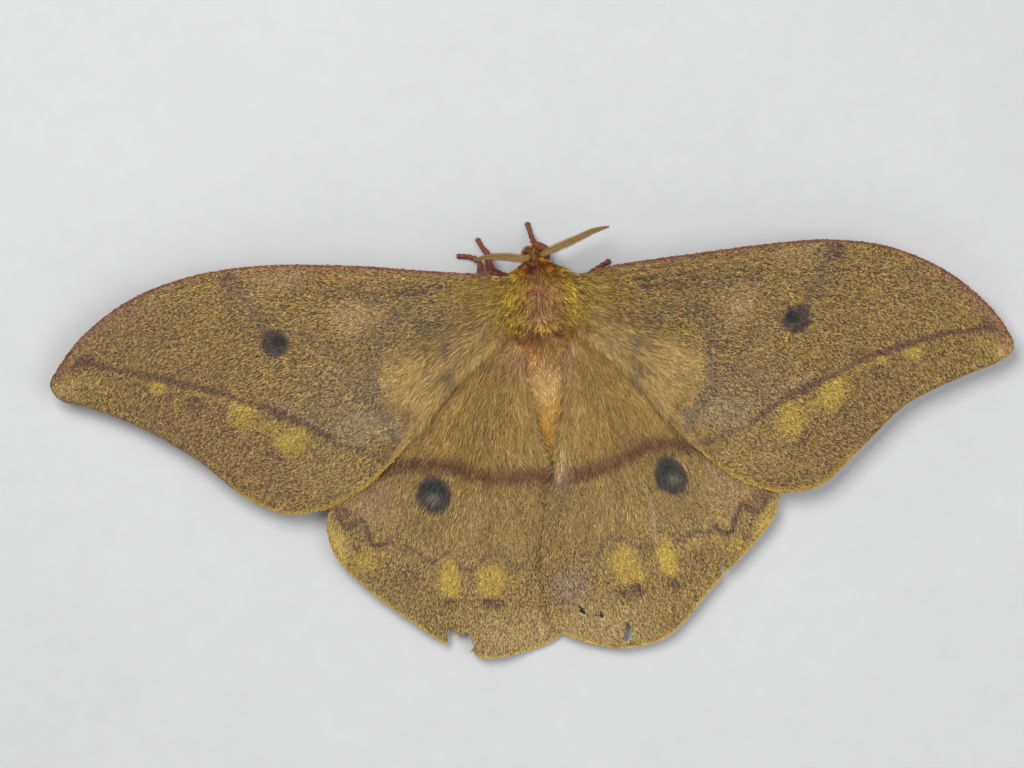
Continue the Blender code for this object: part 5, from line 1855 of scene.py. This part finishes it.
@dataclass
class Leg:
    """One leg: thigh, shin, five foot joints and two claws."""

    name: str
    path: Line
    radii: tuple[float, ...] = (0.75, 0.6, 0.42, 0.32, 0.38)
    knots: int = 5
    rings: int = 260
    # How much darker the skin is painted than its hair: painted shade under the hair
    skin_shade: float = 0.8

    def form(self) -> Form:
        """The rings from the hip to the foot, waisted between the foot's joints.

        Returns:
            The leg's form.
        """
        line = smooth_line(self.path, self.rings)
        share = np.linspace(0.0, 1.0, self.rings)
        spots = [np.argmin(np.linalg.norm(line - np.array(point), axis=1)) / (self.rings - 1)
                 for point in self.path]
        radius = np.interp(share, spots, self.radii)
        foot = np.clip((share - spots[2]) / (1.0 - spots[2]), 0.0, 1.0)
        bulge = 0.16 * np.cos(foot * self.knots * 2 * math.pi - math.pi)
        radius = radius * (1.0 + np.where(foot > 0, bulge, 0.0))
        for knee in spots[1:3]:
            radius = radius * (1.0 - 0.22 * np.exp(-(((share - knee) / 0.02) ** 2)))
        radius = np.maximum(radius * rounded(share, 0.03), 0.01)
        forward = unit(np.gradient(line, axis=0))
        across = unit(np.cross(np.tile(UP, (self.rings, 1)), forward))
        return Form(line, radius, radius, -across)

    def claws(self, form: Form) -> bpy.types.Object:
        """Two small hooked claws at the foot's end.

        Args:
            form: the leg's form.

        Returns:
            The claws' object.
        """
        coat = Coat(f"{self.name}_claws")
        tip, before = form.line[-4], form.line[-30]
        ahead = unit((tip - before)[None, :])[0]
        aside = unit(np.cross(UP, ahead)[None, :])[0]
        for sign in (-1.0, 1.0):
            root = tip - ahead * 0.12 + aside * 0.1 * sign
            middle = root + ahead * 0.24 + aside * 0.12 * sign + np.array((0.0, 0.0, 0.05))
            end = middle + ahead * 0.16 + np.array((0.0, 0.0, -0.2))
            end[2], middle[2], root[2] = max(end[2], 0.03), max(middle[2], 0.1), max(root[2], 0.1)
            shape = hairs(root[None], middle[None], end[None], aside[None], np.array((UP,)),
                          np.array((0.14,)))
            tone, unwrap = np.array(((70.0, 42.0, 32.0),)), np.array(((0.5, 0.5),))
            coat.add(shape, HAIR_FACES, tone, HAIR_SHADE, unwrap, HAIR_TILE)
        return coat.build()

    def build(self, seed: int) -> None:
        """Build the skin, the hair and the claws and dress them.

        Args:
            seed: which random draws.
        """
        form = self.form()
        groom = LegGroom(peak=25.0, lift=0.3, droop=0.2, width=0.13, clump=0.6, gather=0.2, swirl=0.15)
        skin, places = form.skin(f"{self.name}_skin", 20, 110)
        # The skin takes the hair's tones darkened: painted shade under the hair
        paint(skin.data, mix(*groom.tones(places)) * self.skin_shade)
        LEG_SKIN.dress(skin, self.name)
        LEG_FUR.dress(groom.grow(f"{self.name}_fur", form, seed))
        CLAW.dress(self.claws(form))


@dataclass
class Feeler:
    """One narrow feeler with two pairs of short branches at each joint."""

    name: str
    path: Line
    half: float = 0.78
    pitch: float = 0.32
    rings: int = 200

    def build(self) -> None:
        """Build the shaft and the comb and dress them."""
        line = smooth_line(self.path, self.rings)
        share = np.linspace(0.0, 1.0, self.rings)
        forward = unit(np.gradient(line, axis=0))
        across = unit(np.cross(forward, np.tile(UP, (self.rings, 1))))
        radius = np.interp(share, (0, 0.12, 0.6, 1), (0.2, 0.15, 0.12, 0.06)) * rounded(share, 0.01)
        reach = np.linalg.norm(np.diff(line, axis=0), axis=1).sum()
        radius = np.maximum(radius, 0.01) * (1.0 + 0.1 * np.cos(share * reach / self.pitch * 2 * math.pi))
        shaft, places = Form(line, radius, radius, across).skin(f"{self.name}_shaft", 14, 200)
        paint(shaft.data, np.tile((108.0, 84.0, 44.0), (len(places), 1)))
        FEELER_SKIN.dress(shaft, self.name)
        FEELER_COMB.dress(self.comb(line, forward, across))

    def comb(self, line: np.ndarray, forward: np.ndarray, across: np.ndarray) -> bpy.types.Object:
        """The branches, two pairs at each joint, longest in the middle and leaning to the tip.

        Args:
            line: the shaft's middle.
            forward: directions along it.
            across: directions to its side.

        Returns:
            The comb's object.
        """
        reach = np.linalg.norm(np.diff(line, axis=0), axis=1).sum()
        count = int(reach * 0.93 / (self.pitch * 0.5))
        rng = np.random.default_rng(len(self.name))
        along = np.linspace(0.07, 0.99, count)
        coat = Coat(f"{self.name}_comb")
        root, ahead, aside = sample(line, along), unit(sample(forward, along)), unit(sample(across, along))
        up = np.cross(aside, ahead)
        wide = self.half * np.interp(along, (0.0, 0.1, 0.2, 0.3, 0.5, 0.75, 0.92, 1.0),
                                     (0.35, 0.66, 0.92, 1.0, 0.92, 0.7, 0.42, 0.15))
        wide = np.maximum(wide, 0.14)
        light, dark = np.array((138.0, 108.0, 56.0)), np.array((104.0, 79.0, 40.0))
        for sign in (-1.0, 1.0):
            for tier in (-1.0, 1.0):
                length = (wide * rng.normal(1.0, 0.05, count))[:, None]
                middle = root + aside * sign * length * 0.6 + ahead * length * 0.12 + up * (0.1 * tier + 0.06)
                tip = root + aside * sign * length + ahead * length * 0.34 + up * (0.03 * tier - 0.02)
                blend = rng.normal(np.arange(count) % 2 * 0.5 + 0.25, 0.15)
                tone = mix(light, dark, np.clip(blend, 0.0, 1.0))
                shape = hairs(root + up * 0.06 * tier, middle, tip, ahead, up, np.full(count, 0.2))
                if sign > 0:
                    shape = shape[:, (1, 0, 2, 4, 3, 5, 6)]
                unwrap = np.column_stack((along, np.full(count, 0.5 + 0.2 * sign + 0.1 * tier)))
                coat.add(shape, HAIR_FACES, tone, BRANCH_SHADE, unwrap, HAIR_TILE)
        return coat.build()


LEGS = (
    Leg("leg_fore_left",
        ((-2.4, 2.6, 3.6), (-7.4, 5, 3.5), (-7.9, 7.7, 1.9), (-8.7, 8.9, 0.8), (-9.4, 10.4, 0.3))),
    Leg("leg_fore_right",
        ((-0.4, 3.4, 3.3), (1.2, 7.7, 2.6), (-0.5, 9.1, 1.9), (-1.0, 10.6, 1.0), (-1.4, 12.4, 0.3))),
    Leg("leg_mid_left",
        ((-3, 0.2, 3.4), (-9.2, 1.8, 3.5), (-9.2, 6.5, 1.6), (-10.6, 7.5, 0.7), (-12.8, 7.8, 0.3))),
    Leg("leg_mid_right",
        ((3, 0.2, 3.4), (7.2, -0.4, 3.6), (7.3, 3.1, 1.6), (9.3, 4.6, 0.7), (11.3, 5.7, 0.3))),
    Leg("leg_hind_left",
        ((-2.8, -3.4, 3.2), (-7.2, -7.6, 3.3), (-9.2, -14.4, 1.9), (-10.4, -18, 0.8), (-11.6, -21, 0.3))),
    Leg("leg_hind_right",
        ((2.8, -3.4, 3.2), (7.2, -7.6, 3.3), (9.2, -14.4, 1.9), (10.4, -18, 0.8), (11.6, -21, 0.3))),
)
FEELERS = (
    Feeler("antenna_left",
           ((-1.2, 7, 7.2), (-1.7, 6.5, 8.3), (-2.6, 6.3, 8.6), (-4.1, 6.7, 8.5), (-6, 6.9, 8.2),
            (-8, 7, 7.6), (-10, 6.7, 6.9))),
    Feeler("antenna_right",
           ((-0.1, 6.9, 7.2), (0.9, 7, 8.4), (2.7, 7.7, 8.8), (5.9, 8.9, 8.7), (8.6, 10, 8.2),
            (11.2, 10.6, 7.4))),
)

# The room round the moth


@dataclass
class Studio:
    """A pale floor, soft lights and the camera straight above."""

    aim: tuple[float, float] = (-3.31, 8.56)
    height: float = 447.0
    turn: float = -3.5
    lens: float = 100.0

    def build(self) -> None:
        """Build the floor, the lights and the camera."""
        bm = bmesh.new()
        bmesh.ops.create_grid(bm, x_segments=2, y_segments=2, size=900.0)
        floor = to_object("floor", bm)
        paint(floor.data, np.full((len(floor.data.vertices), 3), 150.0))
        floor.data.materials.append(Finish("Pale floor", "stage", 300.0, 0.03, 0.8, 0.0).material())
        self.lamp("key", (-130, 190, 420), 260, 3.7)
        self.lamp("fill", (240, -60, 380), 320, 1.5)
        self.lamp("low", (0, -330, 160), 260, 0.7)
        scene = bpy.context.scene
        world = bpy.data.worlds.new("Room")
        world.use_nodes = True
        world.node_tree.nodes["Background"].inputs["Color"].default_value = (0.95, 0.97, 1.0, 1.0)
        world.node_tree.nodes["Background"].inputs["Strength"].default_value = 0.34
        scene.world = world
        scene.view_settings.view_transform = "Standard"
        view = bpy.data.cameras.new("camera")
        view.lens, view.sensor_width = self.lens, 36.0
        view.clip_start, view.clip_end = 0.01, 10.0
        camera = stand("camera", view)
        camera.location = Vector((*self.aim, self.height)) * MILLIMETRE
        camera.rotation_euler = (0.0, 0.0, math.radians(self.turn))
        scene.camera = camera

    @staticmethod
    def lamp(name: str, place: tuple[float, float, float], size: float, power: float) -> None:
        """Add a soft square light that looks at the moth.

        Args:
            name: what the light is called.
            place: where it stands, in millimetres.
            size: its side, in millimetres.
            power: its power in watts.
        """
        light = bpy.data.lights.new(name, "AREA")
        light.size, light.energy = size * MILLIMETRE, power
        lamp = stand(name, light)
        lamp.location = Vector(place) * MILLIMETRE
        lamp.rotation_euler = (-lamp.location).to_track_quat("-Z", "Y").to_euler()


def main() -> None:
    """Build the moth in order and report each piece."""
    logging.basicConfig(level=logging.INFO, format="%(message)s")
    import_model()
    Body().build()
    for number, leg in enumerate(LEGS):
        leg.build(50 + number)
    for feeler in FEELERS:
        feeler.build()
    for wing in wings():
        wing.build()
    Studio().build()


if __name__ == "__main__":
    main()
